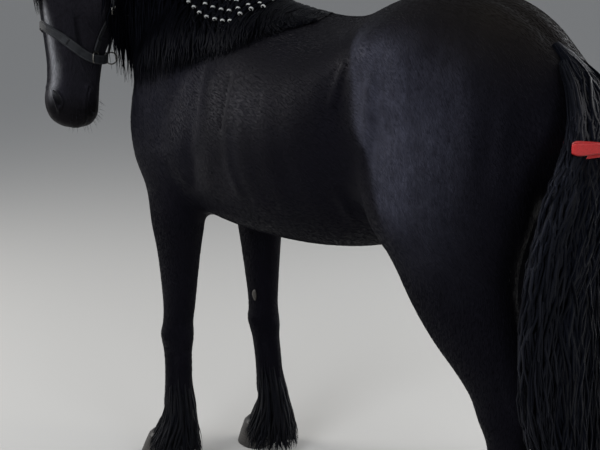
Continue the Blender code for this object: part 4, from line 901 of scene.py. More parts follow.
def coat_colour_and_painted_sheen(p):
    """The coat's black, with a painted sheen, cooler and lighter, where the short hair shines, a painted highlight and
    shade down the nose, and browner on the croup.
    """
    x, y, z = p.T
    base = np.tile(arr(0.0032, 0.0030, 0.0044), (len(p), 1))
    def blob(c, r):
        return np.exp(-np.abs((p - arr(*c)) / arr(*r)) ** 2.4 @ np.ones(3))[:, None]
    def pair(c, r):
        return blob(c, r) + blob((-c[0], c[1], c[2]), r)
    # the broad painted sheen down the front of the haunch, its front edge sharp at the flank's fold
    fore = np.interp(z, (1.03, 1.095, 1.144, 1.216, 1.238, 1.285, 1.361, 1.437, 1.502), (0.943, 0.924, 0.910, 0.882, 0.858, 0.832, 0.822, 0.808, 0.780))
    lit = (smoothstep(-0.016, 0.020, y - fore) * (1 - smoothstep(0.94, 1.07, y))
           * smoothstep(0.98, 1.12, z) * (1 - smoothstep(1.44, 1.56, z)) * smoothstep(0.12, 0.2, np.abs(x)))[:, None]
    # painted sheen: the coat lighter and bluer on haunch, shoulder and barrel where the short hair catches the light
    painted_sheen = np.clip(lit + 0.72 * pair((0.28, 1.06, 1.24), (0.20, 0.11, 0.24)) + 0.13 * pair((0.26, 0.04, 1.24), (0.20, 0.20, 0.20))
                   + 0.08 * pair((0.26, 0.16, 1.33), (0.2, 0.12, 0.12)) + 0.10 * pair((0.28, 0.43, 1.29), (0.2, 0.075, 0.055)) + 0.14 * pair((0.19, -0.10, 1.20), (0.12, 0.12, 0.16)) + 0.07 * pair((0.30, 0.40, 1.14), (0.2, 0.030, 0.09)), 0, 1)
    # soft blotches and fine streaks through the painted sheen
    sheen_mottle = 0.74 + 0.26 * np.sin(x * 61 + 2.0 * np.sin(z * 37 + y * 9)) * np.sin(z * 53 + 1.7 * np.sin(y * 43)) * np.sin(y * 71 + 1.3 * np.sin(z * 29))
    sheen_brush_streaks = 0.88 + 0.12 * np.sin(y * 240 + 2.6 * np.sin(z * 11 + 4 * x) + 1.5 * np.sin(z * 31))
    painted_sheen = painted_sheen * (sheen_mottle * sheen_brush_streaks)[:, None]
    # the painted sheen's bluish grey, laid over the black
    base = base * (1 - painted_sheen) + arr(0.0460, 0.0470, 0.0640) * painted_sheen
    warm = np.clip(blob((0.0, 1.14, 1.58), (0.28, 0.20, 0.15)) + 0.35 * blob((0.0, 0.7, 1.56), (0.2, 0.4, 0.08)), 0, 1)
    base = base * (1 - 0.8 * warm) + arr(0.0125, 0.0102, 0.0074) * 0.8 * warm
    head = smoothstep(1.28, 1.10, head_measure(p))[:, None]
    q = head_frame(p)
    # the nose bridge, where a highlight and shade are painted
    nose = smoothstep(0.035, 0.065, q[:, 1]) * smoothstep(0.60, 0.50, q[:, 0]) * smoothstep(0.20, 0.30, q[:, 0])
    # painted highlight along each edge of the nasal bone
    ridge = (np.exp(-((np.abs(q[:, 2]) - 0.031) / 0.0105) ** 2) * nose)[:, None]
    # painted shade down the middle of the nose, between the two highlights
    middle = (np.exp(-(q[:, 2] / 0.016) ** 2) * nose)[:, None]
    face = arr(0.0112, 0.0106, 0.0130) * (1 - ridge) + arr(0.2000, 0.2000, 0.2060) * ridge
    face = face * (1 - 0.8 * middle) + arr(0.0050, 0.0054, 0.0075) * 0.8 * middle
    muzzle = smoothstep(0.53, 0.60, q[:, 0])[:, None]
    face = face * (1 - muzzle) + arr(0.0050, 0.0044, 0.0046) * muzzle
    base = base * (1 - head) + face * head
    return base


def add_colour(mesh, name, rgb):
    a = mesh.attributes.new(name, "FLOAT_COLOR", "POINT")
    a.data.foreach_set("color", np.column_stack([rgb, np.ones(len(rgb))]).astype(np.float32).ravel())


def add_float(mesh, name, value):
    a = mesh.attributes.new(name, "FLOAT", "POINT")
    a.data.foreach_set("value", np.ascontiguousarray(value, np.float32))


# ---------------------------------------------------------------- the skin under the coat
OUTER = coords(body.data)                     # the hair's own outline, as in the solids
OUTER_N = normals(body.data)
lids = smoothstep(0.020, 0.032, np.minimum(*(np.linalg.norm(OUTER - e, axis=1) for e in EYES)))
depth = coat_depth(OUTER) * lids
put(body.data, OUTER - OUTER_N * depth[:, None])
SKIN = coords(body.data)
SKIN_N = normals(body.data)
for poly_smooth in (True,):
    body.data.polygons.foreach_set("use_smooth", np.ones(len(body.data.polygons), bool))


def chart(p):
    """A place on an unwrap of the skin's own shape: trunk and neck, head, and each leg have their own field."""
    p = np.atleast_2d(p)
    x, y, z = p.T
    uv = np.zeros((len(p), 2))
    turn = np.arctan2(x, z - 1.20) / (2 * math.pi) + 0.5
    uv[:, 0] = 0.02 + 0.58 * turn
    uv[:, 1] = 0.02 + 0.60 * np.clip((y + 0.50) / 2.0, 0, 1)
    neck = (y < -0.05) & (z > 1.25)
    k = np.clip((z - 1.20) / 0.75, 0, 1)
    around = np.arctan2(x - 0.10 * k, y + 0.10 + 0.20 * k) / (2 * math.pi) + 0.5
    uv[neck, 0] = (0.02 + 0.58 * around)[neck]
    uv[neck, 1] = (0.64 + 0.34 * k)[neck]
    q = head_frame(p)
    head = head_measure(p) < 1.22
    spin = np.arctan2(q[:, 2], q[:, 1]) / (2 * math.pi) + 0.5
    uv[head, 0] = (0.62 + 0.36 * spin)[head]
    uv[head, 1] = (0.74 + 0.24 * np.clip((q[:, 0] + 0.05) / 0.75, 0, 1))[head]
    ear = ear_amount(p) > 0.5
    for i, sign in enumerate((1, -1)):
        c, out, across, face = ear_axes(sign)
        d = p - c
        on = ear & (np.linalg.norm(d - (d @ out)[:, None] * out, axis=1) < 0.050) & ((d @ LEFT) * sign > -0.030)
        uv[on, 0] = (0.64 + 0.18 * i + 0.07 + 1.2 * (d @ across))[on]
        uv[on, 1] = (0.64 + 0.08 * np.clip((d @ out) / 0.15, 0, 1))[on]
    for i, (sx, front) in enumerate(((1, True), (-1, True), (1, False), (-1, False))):
        cx = sx * (0.155 if front else 0.172)
        leg = (z < 0.97) & (np.sign(x) == sx) & ((y < 0.45) if front else (y > 0.45)) & ~head
        cy = 0.0 if front else 1.20
        ang = np.arctan2(x - cx, y - cy) / (2 * math.pi) + 0.5
        u0, v0 = 0.62 + 0.19 * (i % 2), 0.02 + 0.31 * (i // 2)
        uv[leg, 0] = (u0 + 0.17 * ang)[leg]
        uv[leg, 1] = (v0 + 0.28 * np.clip(z / 0.97, 0, 1))[leg]
    return uv


def set_uv(mesh, name, uv):
    """uv is given per vertex."""
    layer = mesh.uv_layers.new(name=name)
    idx = np.empty(len(mesh.loops), np.int32)
    mesh.loops.foreach_get("vertex_index", idx)
    layer.data.foreach_set("uv", uv[idx].astype(np.float32).ravel())


def raw_mesh(name, verts, faces, smooth=False):
    """A mesh from numpy arrays; faces is an (n, 3) or (n, 4) array."""
    mesh = bpy.data.meshes.new(name)
    n, k = faces.shape
    mesh.vertices.add(len(verts))
    mesh.vertices.foreach_set("co", np.ascontiguousarray(verts, np.float32).ravel())
    mesh.loops.add(n * k)
    mesh.loops.foreach_set("vertex_index", np.ascontiguousarray(faces, np.int32).ravel())
    mesh.polygons.add(n)
    mesh.polygons.foreach_set("loop_start", np.arange(0, n * k, k, dtype=np.int32))
    mesh.polygons.foreach_set("loop_total", np.full(n, k, np.int32))
    mesh.update(calc_edges=True)
    mesh.polygons.foreach_set("use_smooth", np.full(n, smooth))
    obj = bpy.data.objects.new(name, mesh)
    COLLECTION.objects.link(obj)
    return obj


# ---------------------------------------------------------------- short tufts
body.data.calc_loop_triangles()
TRI = np.empty(len(body.data.loop_triangles) * 3, np.int32)
body.data.loop_triangles.foreach_get("vertices", TRI)
TRI = TRI.reshape(-1, 3)
skin_tree = BVHTree.FromObject(body, bpy.context.evaluated_depsgraph_get())


def sample_roots(weight, count):
    """Places spread evenly over the skin by area times weight: points, normals."""
    a, b, c = SKIN[TRI[:, 0]], SKIN[TRI[:, 1]], SKIN[TRI[:, 2]]
    area = 0.5 * np.linalg.norm(np.cross(b - a, c - a), axis=1) * weight
    total = np.cumsum(area)
    at = (np.arange(count) + rng.random(count)) / count * total[-1]
    tri = np.searchsorted(total, at)
    tri = np.minimum(tri, len(TRI) - 1)
    u, v = rng.random(count), rng.random(count)
    flip = u + v > 1
    u, v = np.where(flip, 1 - u, u), np.where(flip, 1 - v, v)
    w = np.stack([1 - u - v, u, v], 1)[:, :, None]
    t = TRI[tri]
    p = (SKIN[t] * w).sum(1)
    nrm = unit((SKIN_N[t] * w).sum(1))
    return p, nrm


tri_mid = SKIN[TRI].mean(1)
mx, my, mz = tri_mid.T
q_mid = head_frame(tri_mid)
m_head = head_measure(tri_mid) < 1.22
weight = np.full(len(TRI), 1.0)
weight[mz < 0.90] = 1.5
weight[m_head] = 3.6
weight[ear_amount(tri_mid) > 0.3] = 3.0
weight[mz < 0.16] = 0.0                                                # under the feathers
eye_mid = np.minimum(*(np.linalg.norm(tri_mid - e, axis=1) for e in EYES))
weight[eye_mid < 0.030] = 0.0
weight[m_head & (q_mid[:, 0] > 0.505)] = 2.4
weight[m_head & (q_mid[:, 0] > 0.530)] = 0.0                            # the muzzle's short down is bump alone
for sign in (1, -1):
    c = on_head(NOSTRIL_AT[0], NOSTRIL_AT[1], sign * NOSTRIL_AT[2])
    weight[np.linalg.norm(tri_mid - c, axis=1) < 0.027] = 0.0
weight[(mz < 0.30)] *= 0.6
TUFTS = 168000


def make_tufts():
    p, nrm = sample_roots(weight, TUFTS)
    lie = lie_of(p)
    jitter = rng.normal(0, 0.075, (len(p), 3))
    lie = lie + jitter
    lie = unit(lie - nrm * (lie * nrm).sum(1)[:, None])
    side = np.cross(nrm, lie)
    head = np.maximum(smoothstep(1.28, 1.12, head_measure(p)), ear_amount(p))
    foot = smoothstep(0.95, 0.60, p[:, 2])
    q = head_frame(p)
    nose = head * smoothstep(0.46, 0.56, q[:, 0])
    length = 0.0180 * (1 - 0.52 * head - 0.18 * nose) * (1 - 0.30 * foot)
    width = 0.00125 * (1 - 0.50 * head - 0.12 * nose) * (1 - 0.25 * foot)
    lift = coat_depth(p) * 0.92
    vary = 0.75 + 0.5 * rng.random(len(p))
    length = length * vary
    width = width * (0.8 + 0.4 * rng.random(len(p)))
    lift = lift * (0.55 + 0.45 * rng.random(len(p)))
    e = lambda v: v[:, None]
    base = p - nrm * 0.0003
    a = base - side * e(width) + lie * e(length * 0.10)
    b = base + side * e(width) + lie * e(length * 0.10)
    top = p + lie * e(length * 0.50) + nrm * e(lift * 0.42 + 0.0002)
    tip = p + lie * e(length) + nrm * e(lift * 0.72)
    verts = np.stack([a, b, top, tip], 1)
    tone = rng.random(len(p))
    return p, verts, tone


roots, tuft_verts, tuft_tone = make_tufts()
# keep each shade's place: order by region so that each piece is one part of the body
field = np.where(head_measure(roots) < 1.22, 0, np.where(roots[:, 2] < 0.97, 1, np.where(roots[:, 1] < 0.30, 2, np.where(roots[:, 1] < 0.86, 3, 4))))
TUFT_FACES = np.array([(0, 1, 2), (1, 3, 2), (3, 0, 2), (0, 3, 1)])
coat_pieces = []


def tuft_piece(name, idx):
    v = tuft_verts[idx].reshape(-1, 3)
    n = len(idx)
    f = (TUFT_FACES[None] + (np.arange(n) * 4)[:, None, None]).reshape(-1, 3)
    obj = raw_mesh(name, v, f)
    root_uv = chart(roots[idx])
    local = np.array([(-0.5, -0.5), (0.5, -0.5), (0.0, 0.0), (0.0, 0.5)]) * 0.003
    set_uv(obj.data, "OFBake", (root_uv[:, None] + local[None]).reshape(-1, 2))
    shade = (0.82 + 0.36 * tuft_tone[idx])[:, None]
    rgb = coat_colour_and_painted_sheen(roots[idx]) * shade
    add_colour(obj.data, "coat", np.repeat(rgb, 4, 0))
    return obj


for k, name in enumerate(("coat_head", "coat_legs", "coat_shoulder", "coat_barrel", "coat_haunch")):
    idx = np.nonzero(field == k)[0]
    halves = max(1, math.ceil(len(idx) * 4 / 190000))
    for h, part_idx in enumerate(np.array_split(idx[np.argsort(roots[idx, 1])], halves)):
        obj = tuft_piece(name + ("" if halves == 1 else "_%d" % (h + 1)), part_idx)
        coat_pieces.append(obj)
        print("COAT", obj.name, len(obj.data.polygons))

# ---------------------------------------------------------------- long hair as solid locks
def build_locks(name, paths, widths, thick, hint, along_scale=1.0, uv_roots=None):
    """Closed, tapering locks.  paths (n, m, 3), half widths and half thicknesses (n, m), outward hints (n, m, 3)."""
    n, m, _ = paths.shape
    tangent = unit(np.gradient(paths, axis=1))
    side = unit(np.cross(tangent, hint))
    out = unit(np.cross(side, tangent))
    ring_ = np.stack([paths + side * widths[..., None], paths + out * thick[..., None],
                      paths - side * widths[..., None], paths - out * thick[..., None]], 2)
    verts = ring_.reshape(-1, 3)
    seg = np.arange(m - 1)
    quads = []
    for k in range(4):
        a = seg * 4 + k
        b = seg * 4 + (k + 1) % 4
        quads.append(np.stack([a, a + 4, b + 4, b], 1))
    quads = np.concatenate(quads + [np.array([[0, 1, 2, 3]]), np.array([[(m - 1) * 4 + 3, (m - 1) * 4 + 2, (m - 1) * 4 + 1, (m - 1) * 4]])])
    faces = (quads[None] + (np.arange(n) * m * 4)[:, None, None]).reshape(-1, 4)
    obj = raw_mesh(name, verts, faces, smooth=True)
    ident = rng.random(n)
    step = np.linalg.norm(np.diff(paths, axis=1), axis=2)
    run = np.concatenate([np.zeros((n, 1)), np.cumsum(step, 1)], 1)
    add_float(obj.data, "across", np.tile(np.array([-1.0, 0.0, 1.0, 0.0]), n * m))
    add_float(obj.data, "along", np.repeat(run.reshape(-1), 4) * along_scale)
    add_float(obj.data, "ident", np.repeat(ident, m * 4))
    root_uv = chart(paths[:, 0]) if uv_roots is None else uv_roots
    frac = (run / run[:, -1:])[..., None]
    local_v = np.repeat(frac, 4, 2) - 0.5
    local_u = np.broadcast_to(np.array([-0.5, 0.0, 0.5, 0.0]), (n, m, 4))
    uv = root_uv[:, None, None, :] + 0.003 * np.stack([local_u, local_v], -1)
    set_uv(obj.data, "OFBake", uv.reshape(-1, 2))
    return obj


def taper(m, root=0.55, tip=0.10, full=0.25):
    """A lock's width along its length: it thickens from the root, then runs out to a point."""
    k = np.linspace(0, 1, m)
    return (root + (1 - root) * smoothstep(0, full, k)) * (1 - (1 - tip) * smoothstep(0.55, 1.0, k))


def waves(n, m, run, size, length, phases=None):
    """A soft wave for each lock along its run (n, m)."""
    ph = rng.random((n, 1)) * 2 * math.pi if phases is None else phases
    ln = length * (0.75 + 0.5 * rng.random((n, 1)))
    return size * np.sin(2 * math.pi * run / ln + ph)


# ---------------------------------------------------------------- tail
TAIL = np.array([  # z, x, y, half across, half fore-and-aft, as in the solids
    (1.487, 0.000, 1.246, 0.024, 0.016), (1.450, 0.003, 1.296, 0.056, 0.024), (1.402, 0.016, 1.345, 0.084, 0.032),
    (1.335, 0.034, 1.384, 0.106, 0.040), (1.270, 0.050, 1.406, 0.120, 0.047), (1.180, 0.064, 1.406, 0.136, 0.050),
    (1.040, 0.082, 1.402, 0.148, 0.055), (0.860, 0.094, 1.392, 0.148, 0.058), (0.640, 0.088, 1.394, 0.136, 0.058),
    (0.420, 0.074, 1.410, 0.116, 0.055), (0.240, 0.060, 1.426, 0.084, 0.046), (0.150, 0.054, 1.432, 0.050, 0.032),
    (0.110, 0.052, 1.434, 0.020, 0.014)])
TAIL_C = TAIL[:, [1, 2, 0]]
TAIL_T = unit(np.gradient(TAIL_C, axis=0))
TAIL_BACK = np.cross(arr(1, 0, 0), TAIL_T)
TAIL_BACK = unit(np.where(TAIL_BACK[:, 1:2] < 0, -TAIL_BACK, TAIL_BACK))


def along_tail(k):
    """Centre, back direction and half sizes at row number k (any shape of array)."""
    idx = np.arange(len(TAIL))
    c = np.stack([np.interp(k, idx, TAIL_C[:, a]) for a in range(3)], -1)
    b = unit(np.stack([np.interp(k, idx, TAIL_BACK[:, a]) for a in range(3)], -1))
    return c, b, np.interp(k, idx, TAIL[:, 3]), np.interp(k, idx, TAIL[:, 4])


def make_tail(n=820, m=26):
    u = np.linspace(0, 1, m)[None]
    k0 = 3.4 * rng.random((n, 1)) ** 1.1
    k1 = 10.2 + 2.0 * rng.random((n, 1))
    short = rng.random((n, 1)) < 0.22
    k1 = np.where(short, 7.2 + 3.0 * rng.random((n, 1)), k1)
    k = k0 + (k1 - k0) * u
    phi = rng.random((n, 1)) * 2 * math.pi
    rho = 0.50 + 0.44 * np.sqrt(rng.random((n, 1)))
    c, back, rx, ry = along_tail(k)
    spread = (0.62 + 0.38 * smoothstep(0, 0.35, u)) * rho
    run = (1.35 * (k - k0) / 11)
    phi_k = phi + 0.25 * np.sin(2.2 * k + 6.28 * rng.random((n, 1)))
    x = np.cos(phi_k) * rx * spread
    y = np.sin(phi_k) * ry * spread
    # the hair is drawn in a little at the ribbon, but not on the left side, where it hangs over it
    pinch = np.exp(-((k - 4.12) / 0.55) ** 2) * (np.cos(phi) < 0.30)
    x, y = x * (1 - 0.16 * pinch), y * (1 - 0.10 * pinch)
    grow = smoothstep(2.5, 7.0, k)
    x = x + waves(n, m, run, 0.0052, 0.20) * grow + waves(n, m, run, 0.0012, 0.065) * grow
    y = y + waves(n, m, run, 0.0050, 0.14) * grow
    clumps = np.round(phi * 9 / 6.28) / 9 * 6.28
    pull = 0.30 * smoothstep(6.0, 11.5, k)
    x = x * (1 - pull) + pull * np.cos(clumps) * rx * spread
    y = y * (1 - pull) + pull * np.sin(clumps) * ry * spread
    p = c + x[..., None] * arr(1, 0, 0) + y[..., None] * back
    hint = unit(np.cos(phi_k)[..., None] * arr(1, 0, 0) + np.sin(phi_k)[..., None] * back + 1e-6)
    w = (0.0038 + 0.0032 * rng.random((n, 1))) * taper(m, 0.5, 0.08)[None]
    t = w * 0.36
    p[..., 2] = np.maximum(p[..., 2], 0.085)
    return build_locks("tail_locks", p, w, t, hint)


def tail_side(n=130, m=28):
    """Loose, wavy strands on the near side that spread over the back of the haunch."""
    u = np.linspace(0, 1, m)[None]
    k0 = 0.9 + 2.2 * rng.random((n, 1))
    k1 = 8.4 + 2.6 * rng.random((n, 1))
    k = k0 + (k1 - k0) * u
    phi = rng.uniform(-0.75, 0.60, (n, 1))
    c, back, rx, ry = along_tail(k)
    z = c[..., 2]
    wide = 0.080 * (0.25 + 0.75 * rng.random((n, 1)))
    spread = smoothstep(1.38, 1.02, z) * smoothstep(0.28, 0.72, z)
    x = np.cos(phi) * rx * (0.80 + 0.16 * rng.random((n, 1))) + wide * spread
    y = np.sin(phi) * ry * 0.9 + 0.010 * spread
    run = 1.35 * (k - k0) / 11
    x = x + waves(n, m, run, 0.0085, 0.13) * smoothstep(2.0, 5.0, k)
    y = y + waves(n, m, run, 0.0050, 0.12) * smoothstep(2.0, 5.0, k)
    p = c + x[..., None] * arr(1, 0, 0) + y[..., None] * back
    hint = unit(np.cos(phi)[..., None] * arr(1, 0, 0) + np.sin(phi)[..., None] * back + 0 * p)
    w = (0.0032 + 0.0026 * rng.random((n, 1))) * taper(m, 0.5, 0.06)[None]
    return build_locks("tail_side_locks", p, w, w * 0.34, hint)


tail_side_locks = tail_side()
tail_locks = make_tail()


def core_from(name, rows, n, scale, uv_at):
    """A plain dark body of hair inside the locks, so that no gap shows through."""
    bm = bmesh.new()
    rows = [list(r) for r in rows]
    for r in rows:
        r[9], r[10], r[11] = r[9] * scale, r[10] * scale, r[11] * scale
    loft(bm, rows, n, 3)
    obj = mesh_object(name, bm)
    obj.data.polygons.foreach_set("use_smooth", np.ones(len(obj.data.polygons), bool))
    c = coords(obj.data)
    add_float(obj.data, "across", np.sin(np.arctan2(c[:, 0] - c[:, 0].mean(), c[:, 1] - c[:, 1].mean()) * 24))
    add_float(obj.data, "along", c[:, 2])
    add_float(obj.data, "ident", np.full(len(c), 0.37))
    set_uv(obj.data, "OFBake", chart(c))
    return obj


tail_core_rows = []
for row, back in list(zip(TAIL, TAIL_BACK))[:-2]:
    tail_core_rows.append([row[1], row[2], row[0], 1, 0, 0, *back, row[3], row[4], row[4], 2.1, 2.1])
tail_core = core_from("tail_core", tail_core_rows, 24, 0.60, None)


# ---------------------------------------------------------------- the ribbon round the tail
def make_ribbon():
    """Three turns of satin ribbon round the tail; its flat knot and two short ends at the back are added after."""
    verts, faces, us, vs = [], [], [], []
    n = 72
    for turn in range(3):
        z_mid = 1.2680 + (turn - 1) * 0.0115
        k_mid = np.interp(-z_mid, -TAIL[:, 0], np.arange(len(TAIL)))
        c, back, rx, ry = along_tail(np.array([k_mid]))
        base = len(verts)
        for i in range(n):
            a = 2 * math.pi * i / n
            wob = 0.0012 * math.sin(a * 5 + turn * 2.1) + 0.0006 * math.sin(a * 13 + turn)
            grow = 0.0030 + 0.0016 * turn + wob
            for j, (dz, dr) in enumerate(((-0.0095, -0.0004), (-0.0060, 0.0011), (0, 0.0016 + 0.0006 * math.sin(a * 9)), (0.0060, 0.0011),
                                          (0.0095, -0.0004), (0.0060, -0.0012), (-0.0060, -0.0012))):
                e = 2 / 2.2
                cx, sy = math.cos(a), math.sin(a)
                px = (rx[0] * 0.86 + grow + dr) * math.copysign(abs(cx) ** e, cx)
                py = (ry[0] * 0.98 + grow + dr) * math.copysign(abs(sy) ** e, sy)
                q = c[0] + px * arr(1, 0, 0) + py * back[0]
                tilt = 0.003 * math.sin(a + turn * 1.9)
                verts.append([q[0], q[1], z_mid + dz + tilt + 0.02 * (q[1] - c[0][1])])
        for i in range(n):
            for j in range(7):
                a0, b0 = base + i * 7 + j, base + ((i + 1) % n) * 7 + j
                a1, b1 = base + i * 7 + (j + 1) % 7, base + ((i + 1) % n) * 7 + (j + 1) % 7
                faces.append((a0, a1, b1, b0))
    return verts, faces


def flat_strip(path, across, width, thick):
    """A thin closed strip along a path: points (m, 3), across directions (m, 3), widths (m)."""
    m = len(path)
    tangent = unit(np.gradient(path, axis=0))
    nrm = unit(np.cross(across, tangent))
    verts = []
    for i in range(m):
        for s, h in ((-1, -1), (1, -1), (1, 1), (-1, 1)):
            verts.append(path[i] + across[i] * width[i] * 0.5 * s + nrm[i] * thick * 0.5 * h)
    faces = [(0, 3, 2, 1), ((m - 1) * 4, (m - 1) * 4 + 1, (m - 1) * 4 + 2, (m - 1) * 4 + 3)]
    for i in range(m - 1):
        for j in range(4):
            a, b = i * 4 + j, i * 4 + (j + 1) % 4
            faces.append((a, b, b + 4, a + 4))
    return verts, faces


r_verts, r_faces = make_ribbon()
c_, back_, rx_, ry_ = along_tail(np.array([4.15]))
bow = arr(0.100, 1.470, 1.276)
reach_, near_ = unit(arr(0.88, -0.47, 0.05)), unit(arr(0.47, 0.88, 0))
for sgn, drop, swing in ((1, 0.082, 0.016), (-1, 0.066, -0.022)):
    m = 16
    u = np.linspace(0, 1, m)
    start = bow - 0.001 * near_
    path = start + np.outer(u, arr(swing, 0.004, -drop)) + np.outer(np.sin(u * 5 + sgn), arr(0.0015, 0.003, 0)) + np.outer(np.sin(math.pi * u), arr(0.006 * sgn, 0.006, 0.004))
    across = unit(np.tile(arr(1, 0.1 * sgn, 0), (m, 1)) + np.outer(u, arr(0, 0.25 * sgn, 0.3 * sgn)))
    v, f = flat_strip(path, across, np.full(m, 0.017), 0.0009)
    off = len(r_verts)
    r_verts += [list(q) for q in v]
    r_faces += [tuple(i + off for i in ff) for ff in f]
# a bow on the near side: two round loops and a small knot between them
for sgn, long_, droop in ((1, 0.100, 0.002), (-1, 0.078, 0.008)):
    m = 30
    a = np.linspace(0, 2 * math.pi, m)
    e = 0.5 - 0.5 * np.cos(a)
    path = (bow + np.outer(sgn * long_ * e, reach_) + np.outer(0.0120 * np.sin(a) * e ** 0.35 + 0.002, near_)
            + np.outer(-droop * e, arr(0, 0, 1)))
    across = unit(np.tile(arr(0, 0, 1.0), (m, 1)) + np.outer(0.16 * np.sin(a), near_))
    wide_ = 0.015 + 0.023 * np.sqrt(np.clip(e, 0, 1))
    wide_ = wide_ * np.sqrt(np.clip(1.0 - 0.62 * np.clip((e - 0.80) / 0.20, 0, 1) ** 2, 0.2, 1))
    v, f = flat_strip(path, across, wide_, 0.0011)
    off = len(r_verts)
    r_verts += [list(q) for q in v]
    r_faces += [tuple(i + off for i in ff) for ff in f]
m = 14
a = np.linspace(0, 2 * math.pi * 0.96, m)
path = bow + np.outer(0.0075 * np.cos(a), near_) + np.outer(0.0105 * np.sin(a), reach_) + 0.002 * near_
v, f = flat_strip(path, np.tile(arr(0, 0, 1.0), (m, 1)), np.full(m, 0.019), 0.0016)
off = len(r_verts)
r_verts += [list(q) for q in v]
r_faces += [tuple(i + off for i in ff) for ff in f]
ribbon = raw_mesh("tail_ribbon_satin", np.array(r_verts), np.array(r_faces), smooth=True)
mod = ribbon.modifiers.new("soften", "SUBSURF")
mod.levels = mod.render_levels = 1
baked(ribbon)


# ---------------------------------------------------------------- mane
MANE_END = 0.86
MANE_SIDE = unit(arr(0.85, 0.53, 0))
NECK_DENSE = dense(neck_rows(), 8)


def mane_edge(t):
    """Height of the hanging edge: the net's hair reaches from the withers (t below 0) to the ears."""
    return float(np.interp(t, [-0.46, -0.36, -0.26, -0.10, 0.0, 0.10, 0.32, 0.50, 0.72, 0.80, 0.86, 0.94],
                           [1.492, 1.461, 1.434, 1.405, 1.388, 1.370, 1.325, 1.288, 1.262, 1.300, 1.345, 1.52]))


def crest(t):
    if t < 0:
        base = crest(0.0)
        o = arr(0, base[1] - 0.85 * t, 1.9)
        hit, nrm, _, _ = skin_tree.ray_cast(Vector(o), Vector((0, 0, -1)), 0.8)
        k = float(smoothstep(0.0, -0.12, t))
        return arr(0, o[1], base[2] * (1 - k) + hit[2] * k)
    k = min(t, 0.999) * (len(NECK_DENSE) - 1)
    i = int(k)
    row = NECK_DENSE[i] * (1 - (k - i)) + NECK_DENSE[i + 1] * (k - i)
    ax, up = unit(row[3:6]), row[6:9]
    return row[0:3] + unit(up - ax * np.dot(up, ax)) * row[10]


def side_at(t):
    k = float(smoothstep(0.05, -0.30, t))
    return unit(MANE_SIDE * (1 - k) + arr(1.0, 0.18, 0) * k)


BED_T, BED_K, BED_ON = 52, 28, 5        # BED_ON: rows below the hanging edge
bed_t = np.linspace(-0.46, 0.94, BED_T)


def make_bed():
    P = np.zeros((BED_T, BED_K + BED_ON, 3))
    D = np.zeros((BED_T, BED_K + BED_ON, 3))
    for i, t in enumerate(bed_t):
        top, side = crest(t), side_at(t)
        for k, (o_, lean) in enumerate(((-0.032, -0.5), (-0.012, -0.1), (0.008, 0.3), (0.026, 0.8))):
            o = top + o_ * side
            hit, nrm, _, _ = skin_tree.ray_cast(Vector((o[0], o[1], top[2] + 0.10)), Vector((0, 0, -1)), 0.30)
            P[i, k] = arr(*hit) if hit is not None else o
            D[i, k] = unit(lean * side + arr(0, 0, 1))
        start = P[i, 3, 2] - (0.022 if t > 0 else 0.010)
        off, last = 0.026, P[i, 3, 2]
        for k in range(4, BED_K + BED_ON):
            z = start + (mane_edge(t) - start) * (k - 4) / (BED_K - 5)
            o = arr(top[0], top[1], z)
            hit, nrm, _, _ = skin_tree.ray_cast(Vector(o + 0.34 * side), Vector(-side), 0.38)
            found = float(np.dot(arr(*hit) - o, side)) if hit is not None else off
            off = max(found, off - 0.12 * (last - z))
            off = min(off, float(np.interp(t, (0.10, 0.50, 0.64), (0.26, 0.26, 0.20))) + 0.06 * (start - z))
            last = z
            P[i, k] = o + off * side
            D[i, k] = side if hit is None else unit(side + 0.6 * max(nrm[2], 0) * arr(0, 0, 1))
    for _ in range(6):
        D[:, 1:-1] = unit(D[:, 1:-1] * 0.5 + 0.25 * (D[:, :-2] + D[:, 2:]))
    for _ in range(3):
        P[1:-1] = P[1:-1] * 0.6 + 0.2 * (P[:-2] + P[2:])
        D[1:-1] = unit(D[1:-1] * 0.6 + 0.2 * (D[:-2] + D[2:]))
    return P, D


BED_P, BED_D = make_bed()


def on_bed(t, u, out):
    """Places on the mane's bed: t along the crest, u from just over it (0) to the hanging edge (1)."""
    t = np.clip(t, bed_t[0], bed_t[-1] - 1e-6)
    u = np.clip(u, 0, 1 + BED_ON / (BED_K - 1) - 1e-6)
    ft = (t - bed_t[0]) / (bed_t[-1] - bed_t[0]) * (BED_T - 1)
    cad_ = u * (BED_K - 1)
    i, k = ft.astype(int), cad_.astype(int)
    a, b = (ft - i)[..., None], (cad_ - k)[..., None]
    def at(G):
        return (G[i, k] * (1 - a) * (1 - b) + G[i + 1, k] * a * (1 - b) + G[i, k + 1] * (1 - a) * b + G[i + 1, k + 1] * a * b)
    d = unit(at(BED_D))
    return at(BED_P) + np.asarray(out)[..., None] * d, d


COLUMNS, NET_ROWS = 20, (0.02, 0.15, 0.27, 0.38, 0.49)
NET_T0, NET_DT = -0.205, 0.0530
NET_FIRST, NET_LAST = -0.24, 0.835
mane_groups = []
band_spots = []


def net_node(r, c):
    t = NET_T0 + NET_DT * (c + (0.5 if r % 2 else 0.0))
    low = float(np.interp(t, [-0.22, -0.16, -0.04, 0.10, 0.20, 0.30, 0.60, 0.84], [0.40, 0.62, 1.16, 1.06, 0.98, 0.96, 0.92, 0.90]))
    return t, NET_ROWS[r] * low


